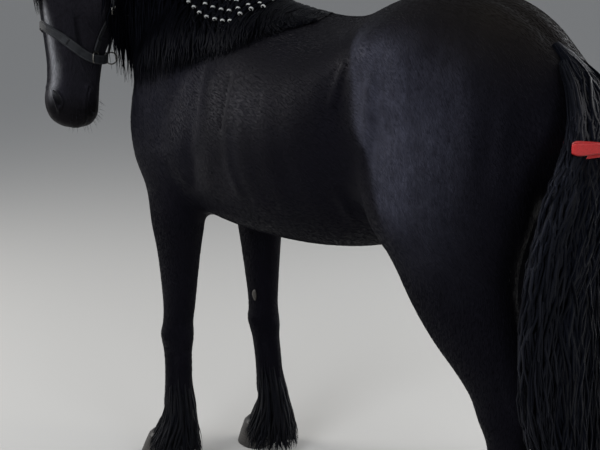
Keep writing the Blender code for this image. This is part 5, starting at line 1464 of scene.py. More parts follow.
def rope(t0, u0, t1, u1, lift, radius, count, m, twist):
    """A bunch of locks twisted together from one node of the net to the next."""
    s = np.linspace(0, 1, m)[None]
    bow = np.sin(math.pi * s)
    t = t0 + (t1 - t0) * s + 0 * bow
    u = u0 + (u1 - u0) * s
    ph = (np.arange(count) / count * 2 * math.pi)[:, None]
    ang = ph + twist * s
    slack = 0.55 + 0.45 * bow
    base, d = on_bed(np.repeat(t, count, 0), np.repeat(u, count, 0), np.full((count, m), lift))
    tangent = unit(np.gradient(base, axis=1))
    side = unit(np.cross(tangent, d))
    off = radius * slack
    p = base + side * (np.cos(ang) * off * 1.25)[..., None] + d * (np.sin(ang) * off * 0.85)[..., None]
    hint = unit(side * np.cos(ang)[..., None] + d * np.sin(ang)[..., None])
    w = np.full((count, m), radius * 0.95) * (0.75 + 0.25 * bow)
    return p, w, w * 0.55, hint


net_parts = []
for c in range(COLUMNS):
    t1, u1 = net_node(1, c)
    if not NET_FIRST < t1 < NET_LAST:
        continue
    for side_t in (-0.30, 0.0, 0.30):
        net_parts.append(rope(t1 + side_t * NET_DT, 0.0, t1, u1, 0.0070, 0.0046, 5, 12, 2.6))
for r in range(1, len(NET_ROWS) - 1):
    for c in range(COLUMNS):
        t0, u0 = net_node(r, c)
        for step in ((0, 1) if r % 2 else (-1, 0)):
            cc = c + step
            if not 0 <= cc < COLUMNS + (1 if (r + 1) % 2 == 0 else 0):
                continue
            t1, u1 = net_node(r + 1, cc)
            if not (NET_FIRST < t1 < NET_LAST and NET_FIRST < t0 < NET_LAST):
                continue
            net_parts.append(rope(t0, u0, t1, u1, 0.0082, 0.0042, 6, 12, 4.2))
p_, w_, t_, h_ = (np.concatenate([q[i] for q in net_parts]) for i in range(4))
mane_net = build_locks("mane_net", p_, w_, t_, h_)

for r in range(1, len(NET_ROWS)):
    for c in range(COLUMNS + (1 if r % 2 == 0 else 0)):
        t, u = net_node(r, c)
        if NET_FIRST < t < NET_LAST:
            band_spots.append((r, t, u))


def loose_mane(n_each=46, m=18):
    """Below the last row of bands each bunch opens into loose, wavy hair."""
    P, W, H = [], [], []
    last = len(NET_ROWS) - 1
    starts = []
    for c in range(COLUMNS + (1 if last % 2 == 0 else 0)):
        t0, u0 = net_node(last, c)
        if NET_FIRST < t0 < NET_LAST:
            starts.append((t0, u0, n_each))
    for t0 in rng.uniform(-0.435, -0.225, 90):          # the last of the mane, on the withers, isn't plaited
        starts.append((t0, rng.uniform(0.0, 0.16), 4))
    for t0, u0, n in starts:
        s = np.linspace(0, 1, m)[None]
        free = n == 4
        fan = rng.normal(0, 0.030, (n, 1))
        drift = -(0.020 * smoothstep(0.15, -0.15, t0) + (0.045 if free else 0)) * s ** 1.5
        wave = rng.random((n, 1))
        t = t0 + (0.5 * fan if free else 0) + fan * smoothstep(0, 0.8, s) + drift + 0.008 * np.sin(6.28 * (s * 1.3 + wave)) * s + 0.003 * np.sin(6.28 * (s * 3.7 + rng.random((n, 1)))) * s
        end = np.where(rng.random((n, 1)) < 0.75, 0.93 + 0.12 * rng.random((n, 1)), 0.60 + 0.35 * rng.random((n, 1)))
        if free:
            end = end * (0.35 + 0.65 * float(smoothstep(-0.45, -0.24, t0))) * (0.8 + 0.2 * rng.random((n, 1)))
        end = end - 0.10 * float(smoothstep(0.2, 0.4, t0) * smoothstep(0.68, 0.5, t0)) * rng.random((n, 1))
        u = u0 + (end - u0) * s
        drop = np.maximum(u - 1 - BED_ON / (BED_K - 1), 0)
        lift = 0.003 + 0.015 * rng.random((n, 1)) * smoothstep(0, 0.4, s) * (0.4 if free else 1.0) + 0.0035 * np.sin(6.28 * (s * 2.1 + rng.random((n, 1)))) * s
        p, d = on_bed(t, u, np.maximum(lift, 0.0018))
        p[..., 2] -= drop * 0.20
        P.append(p)
        H.append(d)
        W.append((0.0032 + 0.0030 * rng.random((n, 1))) * taper(m, 0.7, 0.06)[None])
    p, w, h = np.concatenate(P), np.concatenate(W), np.concatenate(H)
    return build_locks("mane_loose", p, w, w * 0.32, h)


mane_loose = loose_mane()


def poll_mane(n=150, m=16):
    """Between the net and the ears, and over the crest's far side: short hair that lies over."""
    s = np.linspace(0, 1, m)[None]
    t0 = 0.815 + 0.10 * rng.random((n, 1))
    u0 = 0.10 * rng.random((n, 1))
    t = t0 + 0.012 * s * rng.normal(0, 1, (n, 1)) + 0.004 * np.sin(6.28 * (s * 1.5 + rng.random((n, 1))))
    u = u0 + (0.30 + 0.25 * rng.random((n, 1)) + 0.45 * smoothstep(0.86, 0.82, t0)) * s
    lift = 0.003 + 0.010 * rng.random((n, 1)) * smoothstep(0, 0.3, s) + 0.003 * np.sin(6.28 * (s * 1.8 + rng.random((n, 1)))) * s
    p, d = on_bed(t, u, np.maximum(lift, 0.002))
    w = (0.0034 + 0.0028 * rng.random((n, 1))) * taper(m, 0.6, 0.08)[None]
    return build_locks("mane_poll", p, w, w * 0.34, d)


mane_poll = poll_mane()


def crest_roots(n=620, m=7):
    """The line where the mane grows: short hair swept over the crest to the left."""
    s = np.linspace(0, 1, m)[None]
    t0 = -0.25 + 1.16 * rng.random((n, 1))
    near = NET_T0 + NET_DT * (np.round((t0 - NET_T0) / NET_DT - 0.5) + 0.5)
    t = t0 + (near - t0) * 0.75 * smoothstep(0, 1, s)
    u = -0.0 + 0.02 * rng.random((n, 1)) + (0.12 + 0.03 * rng.random((n, 1))) * s
    lift = 0.0015 + (0.004 + 0.004 * rng.random((n, 1))) * np.sin(math.pi * np.minimum(s * 1.2, 1))
    p, d = on_bed(t, u, lift)
    w = (0.0030 + 0.0022 * rng.random((n, 1))) * taper(m, 0.8, 0.25)[None]
    return build_locks("mane_crest", p, w, w * 0.4, d)


mane_crest = crest_roots()


def make_bands():
    """White elastic bands, three turns each, round every crossing of the net."""
    verts, faces = [], []
    for r, t, u in band_spots:
        at, d = on_bed(np.array([t]), np.array([u]), np.array([0.0088]))
        up_, _ = on_bed(np.array([t]), np.array([u - 0.02]), np.array([0.0088]))
        at, d = at[0], d[0]
        axis = unit(up_[0] - at)
        s1 = unit(np.cross(axis, d))
        s2 = unit(np.cross(s1, axis))
        turns, n, rt = 3, 14, 0.00120
        base = len(verts)
        steps = turns * n
        for i in range(steps + 1):
            a = 2 * math.pi * i / n
            c0 = at + axis * (-0.0027 + 0.0054 * i / steps)
            rad = s1 * math.cos(a) * 0.0062 + s2 * math.sin(a) * 0.0056
            o = unit(rad)
            for j in range(5):
                b = 2 * math.pi * j / 5
                verts.append(c0 + rad + o * math.cos(b) * rt + axis * math.sin(b) * rt)
        for i in range(steps):
            for j in range(5):
                faces.append((base + i * 5 + j, base + i * 5 + (j + 1) % 5, base + (i + 1) * 5 + (j + 1) % 5, base + (i + 1) * 5 + j))
    return raw_mesh("mane_elastics", np.array(verts), np.array(faces), smooth=True)


elastics = make_bands()


# ---------------------------------------------------------------- forelock
def face_at(s, x, lift):
    o = on_head(float(s), 0.0, float(x))
    hit, nrm, _, _ = skin_tree.ray_cast(Vector(o + 0.20 * FRONT), Vector(-FRONT), 0.24)
    return (arr(*hit) if hit is not None else o + 0.02 * FRONT) + lift * FRONT


FACE_S = np.linspace(-0.045, 0.33, 26)
FACE_X = np.linspace(-0.075, 0.075, 13)
FACE_F = np.array([[np.dot(face_at(s, x, 0.0) - arr(*POLL), FRONT) for x in FACE_X] for s in FACE_S])


def forelock_locks(n=150, m=18):
    s = np.linspace(0, 1, m)[None]
    x0 = rng.normal(0, 0.012, (n, 1))
    s0 = -0.040 + 0.030 * rng.random((n, 1))
    end = 0.20 + 0.10 * rng.random((n, 1))
    ss = s0 + (end - s0) * s
    x = x0 * (1 + 1.3 * smoothstep(0, 0.6, s)) + 0.004 + 0.004 * np.sin(6.28 * (s * 1.7 + rng.random((n, 1)))) * s
    x = x * (1 - 0.25 * smoothstep(0.7, 1, s))
    fi = np.clip((ss - FACE_S[0]) / (FACE_S[-1] - FACE_S[0]) * (len(FACE_S) - 1), 0, len(FACE_S) - 1.001)
    xi = np.clip((x - FACE_X[0]) / (FACE_X[-1] - FACE_X[0]) * (len(FACE_X) - 1), 0, len(FACE_X) - 1.001)
    i, j = fi.astype(int), xi.astype(int)
    a, b = fi - i, xi - j
    f = FACE_F[i, j] * (1 - a) * (1 - b) + FACE_F[i + 1, j] * a * (1 - b) + FACE_F[i, j + 1] * (1 - a) * b + FACE_F[i + 1, j + 1] * a * b
    lift = 0.003 + 0.013 * rng.random((n, 1)) * smoothstep(0, 0.25, s) + 0.003 * np.sin(6.28 * (s * 2.2 + rng.random((n, 1)))) * s
    p = arr(*POLL) + ss[..., None] * AXIS + (f + np.maximum(lift, 0.002))[..., None] * FRONT + x[..., None] * LEFT
    hint = np.broadcast_to(FRONT, p.shape)
    w = (0.0030 + 0.0026 * rng.random((n, 1))) * taper(m, 0.7, 0.08)[None]
    return build_locks("forelock_locks", p, w, w * 0.36, hint)


forelock = forelock_locks()

# ---------------------------------------------------------------- feathers
FEATHER_FORE = np.array([
    (0.298, 0.004, FORE_X, 0.044, 0.053), (0.260, 0.008, FORE_X, 0.048, 0.059),
    (0.210, 0.012, FORE_X, 0.055, 0.068), (0.160, 0.008, FORE_X, 0.065, 0.082),
    (0.110, -0.006, FORE_X, 0.076, 0.096), (0.060, -0.018, FORE_X, 0.088, 0.110),
    (0.022, -0.024, FORE_X, 0.095, 0.118), (0.010, -0.024, FORE_X, 0.090, 0.110)])
FEATHER_HIND = np.array([
    (0.298, 1.262, HIND_X, 0.040, 0.051), (0.260, 1.266, HIND_X, 0.045, 0.058),
    (0.210, 1.270, HIND_X, 0.052, 0.068), (0.160, 1.264, HIND_X, 0.063, 0.082),
    (0.110, 1.250, HIND_X, 0.074, 0.096), (0.060, 1.238, HIND_X, 0.086, 0.110),
    (0.022, 1.232, HIND_X, 0.093, 0.118), (0.010, 1.232, HIND_X, 0.088, 0.110)])


def leg_move(z, step):
    return step * (1 - np.minimum(z, 1.05) / 1.05) / (1 - 0.08 / 1.05)


def feather_locks(name, table, sign, step, n=460, m=14):
    s = np.linspace(0, 1, m)[None]
    phi = rng.random((n, 1)) * 2 * math.pi                 # 0 across to the left, pi/2 to the back
    front = np.maximum(-np.sin(phi), 0)
    z0 = 0.100 + 0.225 * rng.random((n, 1)) ** 0.9
    z0 = np.where(np.sin(phi) > 0.2, z0 + 0.045 * rng.random((n, 1)), z0)
    z1 = 0.010 + 0.035 * rng.random((n, 1)) + front * 0.060
    z1 = np.minimum(z1, z0 - 0.06)
    deep = rng.random((n, 1))
    z = z0 + (z1 - z0) * s ** (0.92 + 0.2 * rng.random((n, 1)))
    zt = table[::-1, 0]
    cy, cx, rx, ry = (np.interp(z, zt, table[::-1, k]) for k in (1, 2, 3, 4))
    # start on the leg's own skin, then flare to the feather's outline
    leg_r = np.interp(z, [0.06, 0.12, 0.17, 0.22, 0.28, 0.35], [0.052, 0.040, 0.038, 0.046, 0.043, 0.044])
    flare = smoothstep(0.0, 0.85, s) * (0.66 + 0.34 * deep)
    hug = 1 - 0.28 * front
    leg_r = leg_r * (0.80 + 0.20 * smoothstep(0.0, 0.18, s))
    ex = leg_r * 0.97 * (1 - flare) + rx * flare * hug
    ey = leg_r * 1.10 * (1 - flare) + ry * flare * hug
    swirl = phi + 0.20 * np.sin(6.28 * (0.7 * s + rng.random((n, 1)))) * s
    clump = np.round(phi * 13 / 6.28) / 13 * 6.28
    swirl = swirl * (1 - 0.35 * s) + clump * 0.35 * s
    x = cx * sign + np.cos(swirl) * ex + 0.0035 * np.sin(6.28 * (s * 1.4 + rng.random((n, 1)))) * s
    y = cy + leg_move(z, step) + np.sin(swirl) * ey + 0.0035 * np.sin(6.28 * (s * 1.3 + rng.random((n, 1)))) * s
    p = np.stack([x, y, z], -1)
    hint = np.stack([np.cos(swirl), np.sin(swirl), 0.25 + 0 * z], -1)
    w = (0.0034 + 0.0032 * rng.random((n, 1))) * taper(m, 0.30, 0.10, 0.45)[None]
    return build_locks(name, p, w, w * 0.36, unit(hint))


SIDES = (("left", 1, FORE_STEP[0], HIND_STEP[0]), ("right", -1, FORE_STEP[1], HIND_STEP[1]))
feathers = []
for side_name, sign, fs, hs in SIDES:
    feathers.append(feather_locks("feather_locks_fore_" + side_name, FEATHER_FORE, sign, fs))
    feathers.append(feather_locks("feather_locks_hind_" + side_name, FEATHER_HIND, sign, hs))

# ---------------------------------------------------------------- eyes, lids and lashes
def make_eye(sign):
    along, up, out = eye_axes(sign)
    c = EYES[0] if sign > 0 else EYES[1]
    rows, cols = 30, 48
    verts, a_, b_ = [], [], []
    for i in range(rows + 1):
        th = math.pi * i / rows
        for j in range(cols):
            ph = 2 * math.pi * j / cols
            d = math.cos(th) * out + math.sin(th) * (math.cos(ph) * along + math.sin(ph) * up)
            r = EYE_RADIUS + 0.0010 * math.exp(-(th / 0.42) ** 2)
            verts.append(c + d * r)
            a_.append(math.sin(th) * math.cos(ph) * EYE_RADIUS if th < math.pi / 2 else 1.0)
            b_.append(math.sin(th) * math.sin(ph) * EYE_RADIUS if th < math.pi / 2 else 1.0)
    faces = [(i * cols + j, i * cols + (j + 1) % cols, (i + 1) * cols + (j + 1) % cols, (i + 1) * cols + j)
             for i in range(rows) for j in range(cols)]
    if sign < 0:
        faces = [f[::-1] for f in faces]
    obj = raw_mesh("eyeball_" + ("left" if sign > 0 else "right"), np.array(verts), np.array(faces), smooth=True)
    bm = bmesh.new()
    bm.from_mesh(obj.data)
    layer_a, layer_b = bm.verts.layers.float.new("eye_a"), bm.verts.layers.float.new("eye_b")
    bm.verts.ensure_lookup_table()
    for v, x, y in zip(bm.verts, a_, b_):
        v[layer_a], v[layer_b] = x, y
    bmesh.ops.remove_doubles(bm, verts=bm.verts, dist=1e-6)
    bmesh.ops.recalc_face_normals(bm, faces=bm.faces)
    bm.to_mesh(obj.data)
    bm.free()
    obj.data.polygons.foreach_set("use_smooth", np.ones(len(obj.data.polygons), bool))
    return obj


eyeballs = [make_eye(1), make_eye(-1)]


def tube(points, radius, k=7, closed=True, hint=None):
    """Rings of a round tube through the points: vertices and quads; radius may vary."""
    p = np.asarray(points)
    m = len(p)
    tangent = unit(np.roll(p, -1, 0) - np.roll(p, 1, 0)) if closed else unit(np.gradient(p, axis=0))
    hint = np.tile(arr(0.13, 0.2, 0.97), (m, 1)) if hint is None else np.broadcast_to(hint, p.shape)
    s1 = unit(np.cross(tangent, hint))
    s2 = np.cross(s1, tangent)
    r = np.broadcast_to(radius, (m,))
    a = 2 * math.pi * np.arange(k) / k
    v = p[:, None] + r[:, None, None] * (np.cos(a)[None, :, None] * s1[:, None] + np.sin(a)[None, :, None] * s2[:, None])
    faces = []
    for i in range(m if closed else m - 1):
        for j in range(k):
            a0, b0 = i * k + j, i * k + (j + 1) % k
            i1 = (i + 1) % m
            faces.append((a0, b0, i1 * k + (j + 1) % k, i1 * k + j))
    return v.reshape(-1, 3), faces


class Bin:
    """Vertices and quads gathered from many small shapes into one mesh."""
    def __init__(self):
        self.v, self.f, self.tags = [], [], []

    def add(self, verts, faces, tag=0.0):
        off = sum(len(x) for x in self.v)
        self.v.append(np.asarray(verts, float))
        self.f += [tuple(i + off for i in f) for f in faces]
        self.tags.append(np.full(len(verts), tag))

    def make(self, name, smooth=True):
        bm = bmesh.new()
        vs = [bm.verts.new(q) for q in np.concatenate(self.v)]
        for f in self.f:
            try:
                bm.faces.new([vs[i] for i in f])
            except ValueError:
                pass
        bmesh.ops.recalc_face_normals(bm, faces=bm.faces)
        obj = mesh_object(name, bm)
        obj.data.polygons.foreach_set("use_smooth", np.full(len(obj.data.polygons), smooth))
        return obj


rims = Bin()
lash_paths, lash_hints = [], []
for sign, eye in zip((1, -1), EYES):
    along, up, out = eye_axes(sign)
    half, pts = 0.0178, []
    ts = np.concatenate([np.sin(np.linspace(-math.pi / 2, math.pi / 2, 30)), np.sin(np.linspace(math.pi / 2, -math.pi / 2, 30))[1:-1]])
    for k, t in enumerate(ts):
        top = k < 30
        b = 0.0125 * max(1 - abs(t) ** 2.2, 0) ** 0.9 if top else -0.0088 * max(1 - abs(t) ** 2.0, 0) ** 0.9
        a = t * half
        o = math.sqrt(max((EYE_RADIUS + 0.0012) ** 2 - a * a - b * b, 0))
        pts.append(eye + a * along + b * up + o * out)
    v, f = tube(pts, 0.0014, 8, True, out)
    rims.add(v, f)
    n, m = 54, 6
    t = np.linspace(-0.80, 0.86, n) + rng.normal(0, 0.012, n)
    a = t * half
    b = 0.0125 * (1 - np.abs(t) ** 2.2) ** 0.9 + 0.0006
    o = np.sqrt(np.maximum((EYE_RADIUS + 0.0018) ** 2 - a ** 2 - b ** 2, 0))
    root = eye + a[:, None] * along + b[:, None] * up + o[:, None] * out
    s = np.linspace(0, 1, m)[None, :, None]
    ln = (0.0105 + 0.005 * rng.random((n, 1, 1)))
    d = unit(out * 0.90 + up * 0.05 + along * (t[:, None] * 0.55)[:, None, :].reshape(n, 1) * 1.0 + rng.normal(0, 0.07, (n, 3)))
    path = root[:, None] + d[:, None] * ln * s + up * (0.0045 * s ** 2) - up * 0.0030 * np.sin(math.pi * s)
    lash_paths.append(path)
    lash_hints.append(np.broadcast_to(up, path.shape))
lid_rims = rims.make("lid_rims")
lp, lh = np.concatenate(lash_paths), np.concatenate(lash_hints)
lw = np.full(lp.shape[:2], 0.00042) * taper(lp.shape[1], 0.9, 0.15)[None]
lashes = build_locks("lashes", lp, lw, lw * 0.8, lh)


# ---------------------------------------------------------------- whiskers and the hair in the ears
def make_whiskers(n=90, m=7):
    p0, d0 = [], []
    while len(p0) < n:
        s = 0.555 + 0.095 * rng.random()
        a = math.radians(rng.choice([-1, 1]) * (60 + 118 * rng.random()))
        d = math.cos(a) * FRONT + math.sin(a) * LEFT
        o = on_head(float(s), 0, 0)
        hit, nrm, _, _ = skin_tree.ray_cast(Vector(o + d * 0.16), Vector(-d), 0.16)
        if hit is None:
            continue
        p0.append(arr(*hit))
        d0.append(unit(arr(*nrm) + AXIS * 0.35 + rng.normal(0, 0.15, 3)))
    p0, d0 = np.array(p0), np.array(d0)
    s = np.linspace(0, 1, m)[None, :, None]
    ln = 0.010 + 0.020 * rng.random((n, 1, 1))
    path = p0[:, None] + d0[:, None] * ln * s + AXIS * 0.004 * s ** 2
    w = np.full(path.shape[:2], 0.00032) * taper(m, 1.0, 0.2)[None]
    return build_locks("whiskers", path, w, w, np.broadcast_to(FRONT, path.shape) + 0.01)


def make_ear_hair(n=320, m=6):
    paths, hints = [], []
    for sign in (1, -1):
        c, out, across, face = ear_axes(sign)
        h = 0.022 + 0.085 * rng.random(n)
        side = rng.choice([-1.0, 1.0], n)
        rows = np.array(EAR_ROWS)
        w = np.interp(h, rows[:, 0], rows[:, 1])
        f = np.interp(h, rows[:, 0], rows[:, 2])
        lean = np.interp(h, rows[:, 0], rows[:, 4])
        deep = rng.random(n)
        root = c + h[:, None] * out + (side * w * (0.60 + 0.20 * (1 - deep)))[:, None] * across + (f * 0.55 - 0.020 * deep * smoothstep(0.02, 0.05, h))[:, None] * face + lean[:, None] * sign * LEFT
        d = unit(out * 0.85 + face * 0.35 - side[:, None] * across * (0.30 + 0.35 * rng.random((n, 1))) + rng.normal(0, 0.12, (n, 3)))
        ln = 0.010 + 0.011 * rng.random((n, 1, 1))
        s = np.linspace(0, 1, m)[None, :, None]
        paths.append(root[:, None] + d[:, None] * ln * s + out * 0.003 * s ** 2)
        hints.append(np.broadcast_to(face, (n, m, 3)))
    p, h = np.concatenate(paths), np.concatenate(hints)
    w = np.full(p.shape[:2], 0.00075) * taper(m, 0.8, 0.12)[None]
    return build_locks("ear_hair", p, w, w * 0.5, h)


whiskers = make_whiskers()
ear_hair = make_ear_hair()


# ---------------------------------------------------------------- hooves and chestnuts
HOOF_FORE = [
    (0.000, -0.082, FORE_X, 0.066, 0.074, 0), (0.006, -0.081, FORE_X, 0.066, 0.073, 0),
    (0.045, -0.073, FORE_X, 0.060, 0.064, 0), (0.084, -0.064, FORE_X, 0.053, 0.054, 0),
    (0.094, -0.062, FORE_X, 0.044, 0.044, 0)]
HOOF_HIND = [
    (0.000, 1.176, HIND_X, 0.062, 0.073, 0), (0.006, 1.177, HIND_X, 0.062, 0.072, 0),
    (0.045, 1.184, HIND_X, 0.057, 0.062, 0), (0.084, 1.193, HIND_X, 0.051, 0.053, 0),
    (0.094, 1.195, HIND_X, 0.042, 0.043, 0)]


def make_hoof(name, table, sign, step):
    rows = np.array([r[:5] for r in table])
    n, verts, m = 56, [], 40
    zs = np.concatenate([[0.0, 0.0012], np.linspace(0.003, 0.0945, m - 2)])
    for z in zs:
        cy, cx, rx, ry = (float(np.interp(z, rows[:, 0], rows[:, k])) for k in (1, 2, 3, 4))
        cy += step * (1 - min(z, 1.05) / 1.05) / (1 - 0.08 / 1.05)
        ring_amp = 0.00022 * math.sin(z * 2 * math.pi / 0.0092 + 0.6 * math.sin(z * 140))
        lip = -0.0012 if z < 0.001 else 0.0
        for j in range(n):
            a = 2 * math.pi * j / n
            ca, sa = math.cos(a), math.sin(a)
            heel = 1 - 0.16 * float(smoothstep(0.45, 1.0, sa))          # the heels are cut flatter
            cleft = 0.010 * math.exp(-((a - math.pi / 2) / 0.16) ** 2) * (1 - z / 0.12)
            r = 1.0
            verts.append((cx * sign + (rx + ring_amp + lip) * ca * r, cy + (ry + ring_amp + lip) * sa * heel - cleft, z))
    faces = [(i * n + j, i * n + (j + 1) % n, (i + 1) * n + (j + 1) % n, (i + 1) * n + j) for i in range(m - 1) for j in range(n)]
    # the sole: a rim of wall on the ground, then a shallow hollow
    c = np.mean(np.array(verts[:n]), 0)
    base = len(verts)
    for k, (share, up_) in enumerate(((0.88, 0.0), (0.84, 0.005), (0.45, 0.007), (0.06, 0.006))):
        for j in range(n):
            q = c + (np.array(verts[j]) - c) * share
            verts.append((q[0], q[1], up_))
    rings_ = [list(range(n))] + [list(range(base + k * n, base + (k + 1) * n)) for k in range(4)]
    for a, b in zip(rings_, rings_[1:]):
        for j in range(n):
            faces.append((a[j], b[j], b[(j + 1) % n], a[(j + 1) % n]))
    bm = bmesh.new()
    vs = [bm.verts.new(v) for v in verts]
    for f in faces:
        bm.faces.new([vs[i] for i in f])
    bm.faces.new([vs[i] for i in rings_[-1]])
    bm.faces.new([vs[i] for i in range((m - 1) * n, m * n)])
    bmesh.ops.recalc_face_normals(bm, faces=bm.faces)
    obj = mesh_object(name, bm)
    obj.data.polygons.foreach_set("use_smooth", np.ones(len(obj.data.polygons), bool))
    return obj


hooves = []
for side_name, sign, fs, hs in SIDES:
    hooves.append(make_hoof("hoof_shell_fore_" + side_name, HOOF_FORE, sign, fs))
    hooves.append(make_hoof("hoof_shell_hind_" + side_name, HOOF_HIND, sign, hs))


def make_chestnuts():
    """The small horny patches on the inner sides of the legs."""
    bin_ = Bin()
    for side_name, sign, fs, hs in SIDES:
        for x, y, z, step in ((FORE_X, 0.008, 0.560, fs), (HIND_X, 1.235, 0.500, hs)):
            yy = y + step * (1 - z / 1.05) / (1 - 0.08 / 1.05)
            o = arr(0.0, yy, z)
            hit, nrm, _, _ = skin_tree.ray_cast(Vector(o), Vector((sign, 0, 0)), 0.4)
            if hit is None:
                continue
            c, nrm = arr(*hit), arr(*nrm)
            up_ = unit(arr(0, 0, 1) - nrm * nrm[2])
            si = np.cross(nrm, up_)
            verts, faces = [], []
            n, m = 18, 7
            for i in range(m):
                th = math.pi * 0.62 * i / (m - 1)
                for j in range(n):
                    a = 2 * math.pi * j / n
                    r = math.sin(th) * (1 + 0.10 * math.sin(3 * a + z * 40))
                    verts.append(c + up_ * 0.020 * r * math.cos(a) + si * 0.009 * r * math.sin(a) + nrm * (0.0052 * math.cos(th) + 0.0012))
            for i in range(m - 1):
                for j in range(n):
                    faces.append((i * n + j, i * n + (j + 1) % n, (i + 1) * n + (j + 1) % n, (i + 1) * n + j))
            bin_.add(verts, faces)
    return bin_.make("chestnuts")


chestnuts = make_chestnuts()


# ---------------------------------------------------------------- halter
def head_reach(s, angle):
    a = math.radians(angle)
    w, f, r = (float(np.interp(s, HEAD_AT, HEAD_TABLE[:, k])) for k in (9, 10, 11))
    depth = f if math.cos(a) > 0 else r
    return 1 / math.hypot(math.cos(a) / depth, math.sin(a) / w)


def head_hit(s, angle, lift):
    a = math.radians(angle)
    d = math.cos(a) * FRONT + math.sin(a) * LEFT
    o = on_head(s, 0, 0)
    reach = head_reach(s, angle)
    hit, nrm, _, _ = skin_tree.ray_cast(Vector(o + d * (reach - 0.035)), Vector(d), 0.075)
    if hit is None:
        return o + (reach + lift) * d, d
    return arr(*hit) + lift * d, d


PROFILE = [(-1.0, 0.15), (-1.0, 0.70), (-0.94, 1.0), (-0.82, 0.98), (-0.76, 1.10), (-0.70, 0.98), (-0.35, 1.02), (0.0, 1.05),
           (0.35, 1.02), (0.70, 0.98), (0.76, 1.10), (0.82, 0.98), (0.94, 1.0), (1.0, 0.70), (1.0, 0.15), (0.5, 0.0), (-0.5, 0.0)]
STITCH = [1.0 if abs(abs(v) - 0.76) < 0.01 else 0.0 for v, h in PROFILE]
strap_u, strap_v, strap_s = [], [], []
straps = Bin()


def web(p, out, closed, width, thick=0.0030, ease=3):
    """One length of webbing along places p with outward directions."""
    p, out = np.asarray(p), np.asarray(out)
    for _ in range(ease):
        if closed:
            p = 0.5 * p + 0.25 * (np.roll(p, 1, 0) + np.roll(p, -1, 0))
            out = 0.5 * out + 0.25 * (np.roll(out, 1, 0) + np.roll(out, -1, 0))
        else:
            q = p.copy()
            q[1:-1] = 0.5 * p[1:-1] + 0.25 * (p[:-2] + p[2:])
            p = q
    tangent = unit(np.roll(p, -1, 0) - np.roll(p, 1, 0)) if closed else unit(np.gradient(p, axis=0))
    side = unit(np.cross(tangent, out))
    out = unit(np.cross(side, tangent))
    m, k = len(p), len(PROFILE)
    v = np.stack([p + side * width / 2 * a + out * thick * (b - 0.15) for a, b in PROFILE], 1)
    faces = []
    for i in range(m if closed else m - 1):
        i1 = (i + 1) % m
        for j in range(k):
            faces.append((i * k + j, i * k + (j + 1) % k, i1 * k + (j + 1) % k, i1 * k + j))
    if not closed:
        faces += [tuple(range(k)), tuple((m - 1) * k + j for j in reversed(range(k)))]
    run = np.concatenate([[0], np.cumsum(np.linalg.norm(np.diff(p, axis=0), axis=1))])
    straps.add(v.reshape(-1, 3), faces)
    strap_u.append(np.repeat(run, k))
    strap_v.append(np.tile([a * width / 2 for a, b in PROFILE], m))
    strap_s.append(np.tile(STITCH, m))
    return p, out


def noseband_at(a, extra=0.0):
    back = 0.5 - 0.5 * math.cos(math.radians(a))
    return head_hit(0.326 + 0.100 * back + 0.026 * abs(math.sin(math.radians(a))), a, 0.0030 + 0.0105 * back + extra)


def cheek_at(v, side, extra=0.0):
    return head_hit(0.412 - 0.350 * v, side * float(np.interp(v, (0.0, 0.32, 0.60, 1.0), (135, 140, 134, 119))), 0.0028 + extra)


band = [noseband_at(a) for a in np.linspace(0, 360, 96, endpoint=False)]
web([q[0] for q in band], [q[1] for q in band], True, 0.029)
# a second, padded layer over the nose
pad = [noseband_at(a, 0.0034) for a in np.linspace(-62, 62, 40)]
web([q[0] for q in pad], [q[1] for q in pad], False, 0.022, 0.0024)
left = [cheek_at(v, 1) for v in np.linspace(0.03, 1, 34)]
right = [cheek_at(v, -1) for v in np.linspace(1, 0.03, 34)]
top, o = [], on_head(0.040, -0.042, 0)
for k in range(26):
    a = math.radians(74 - 148 * k / 25)
    d = unit(-math.cos(a) * AXIS + math.sin(a) * LEFT)
    hit, nrm, _, _ = skin_tree.ray_cast(Vector(o), Vector(d), 0.20)
    if hit is not None:
        top.append((arr(*hit) + 0.0030 * d, d))
over = left + top + right
web([q[0] for q in over], [q[1] for q in over], False, 0.026, ease=6)
throat = []
for k in range(40):
    u = -1 + 2 * k / 39
    throat.append(head_hit(0.150 + 0.100 * math.cos(u * math.pi / 2), 180 - 51 * u, 0.0034))
web([q[0] for q in throat], [q[1] for q in throat], False, 0.023)
jaw = [head_hit(0.252 + (0.415 - 0.252) * k / 23, 180, 0.004 + 0.010 * k / 23) for k in range(24)]
web([q[0] for q in jaw], [q[1] for q in jaw], False, 0.021)
# the loose tip and the fold of the cheek strap at its buckle, near side
tip = [cheek_at(v, 1, 0.0036) for v in np.linspace(0.40, 0.66, 14)]
web([q[0] for q in tip], [q[1] for q in tip], False, 0.024, 0.0026)
for side in (1, -1):
    fold = [cheek_at(v, side, 0.0034) for v in np.linspace(0.02, 0.13, 7)]
    web([q[0] for q in fold], [q[1] for q in fold], False, 0.026, 0.0024)

halter_straps = straps.make("halter_straps")
add_float(halter_straps.data, "strap_u", np.concatenate(strap_u))
add_float(halter_straps.data, "strap_v", np.concatenate(strap_v))
add_float(halter_straps.data, "stitch", np.concatenate(strap_s))

metal = Bin()


def hoop(c, nrm, up_, rx, ry, r, square=2.0, n=40, k=9):
    """A ring lying in the plane across nrm."""
    nrm = unit(nrm)
    up_ = unit(up_ - nrm * np.dot(up_, nrm))
    si = np.cross(nrm, up_)
    a = 2 * math.pi * np.arange(n) / n
    e = 2 / square
    pts = c + np.outer(rx * np.sign(np.cos(a)) * np.abs(np.cos(a)) ** e, si) + np.outer(ry * np.sign(np.sin(a)) * np.abs(np.sin(a)) ** e, up_)
    v, f = tube(pts, r, k, True, nrm)
    metal.add(v, f)


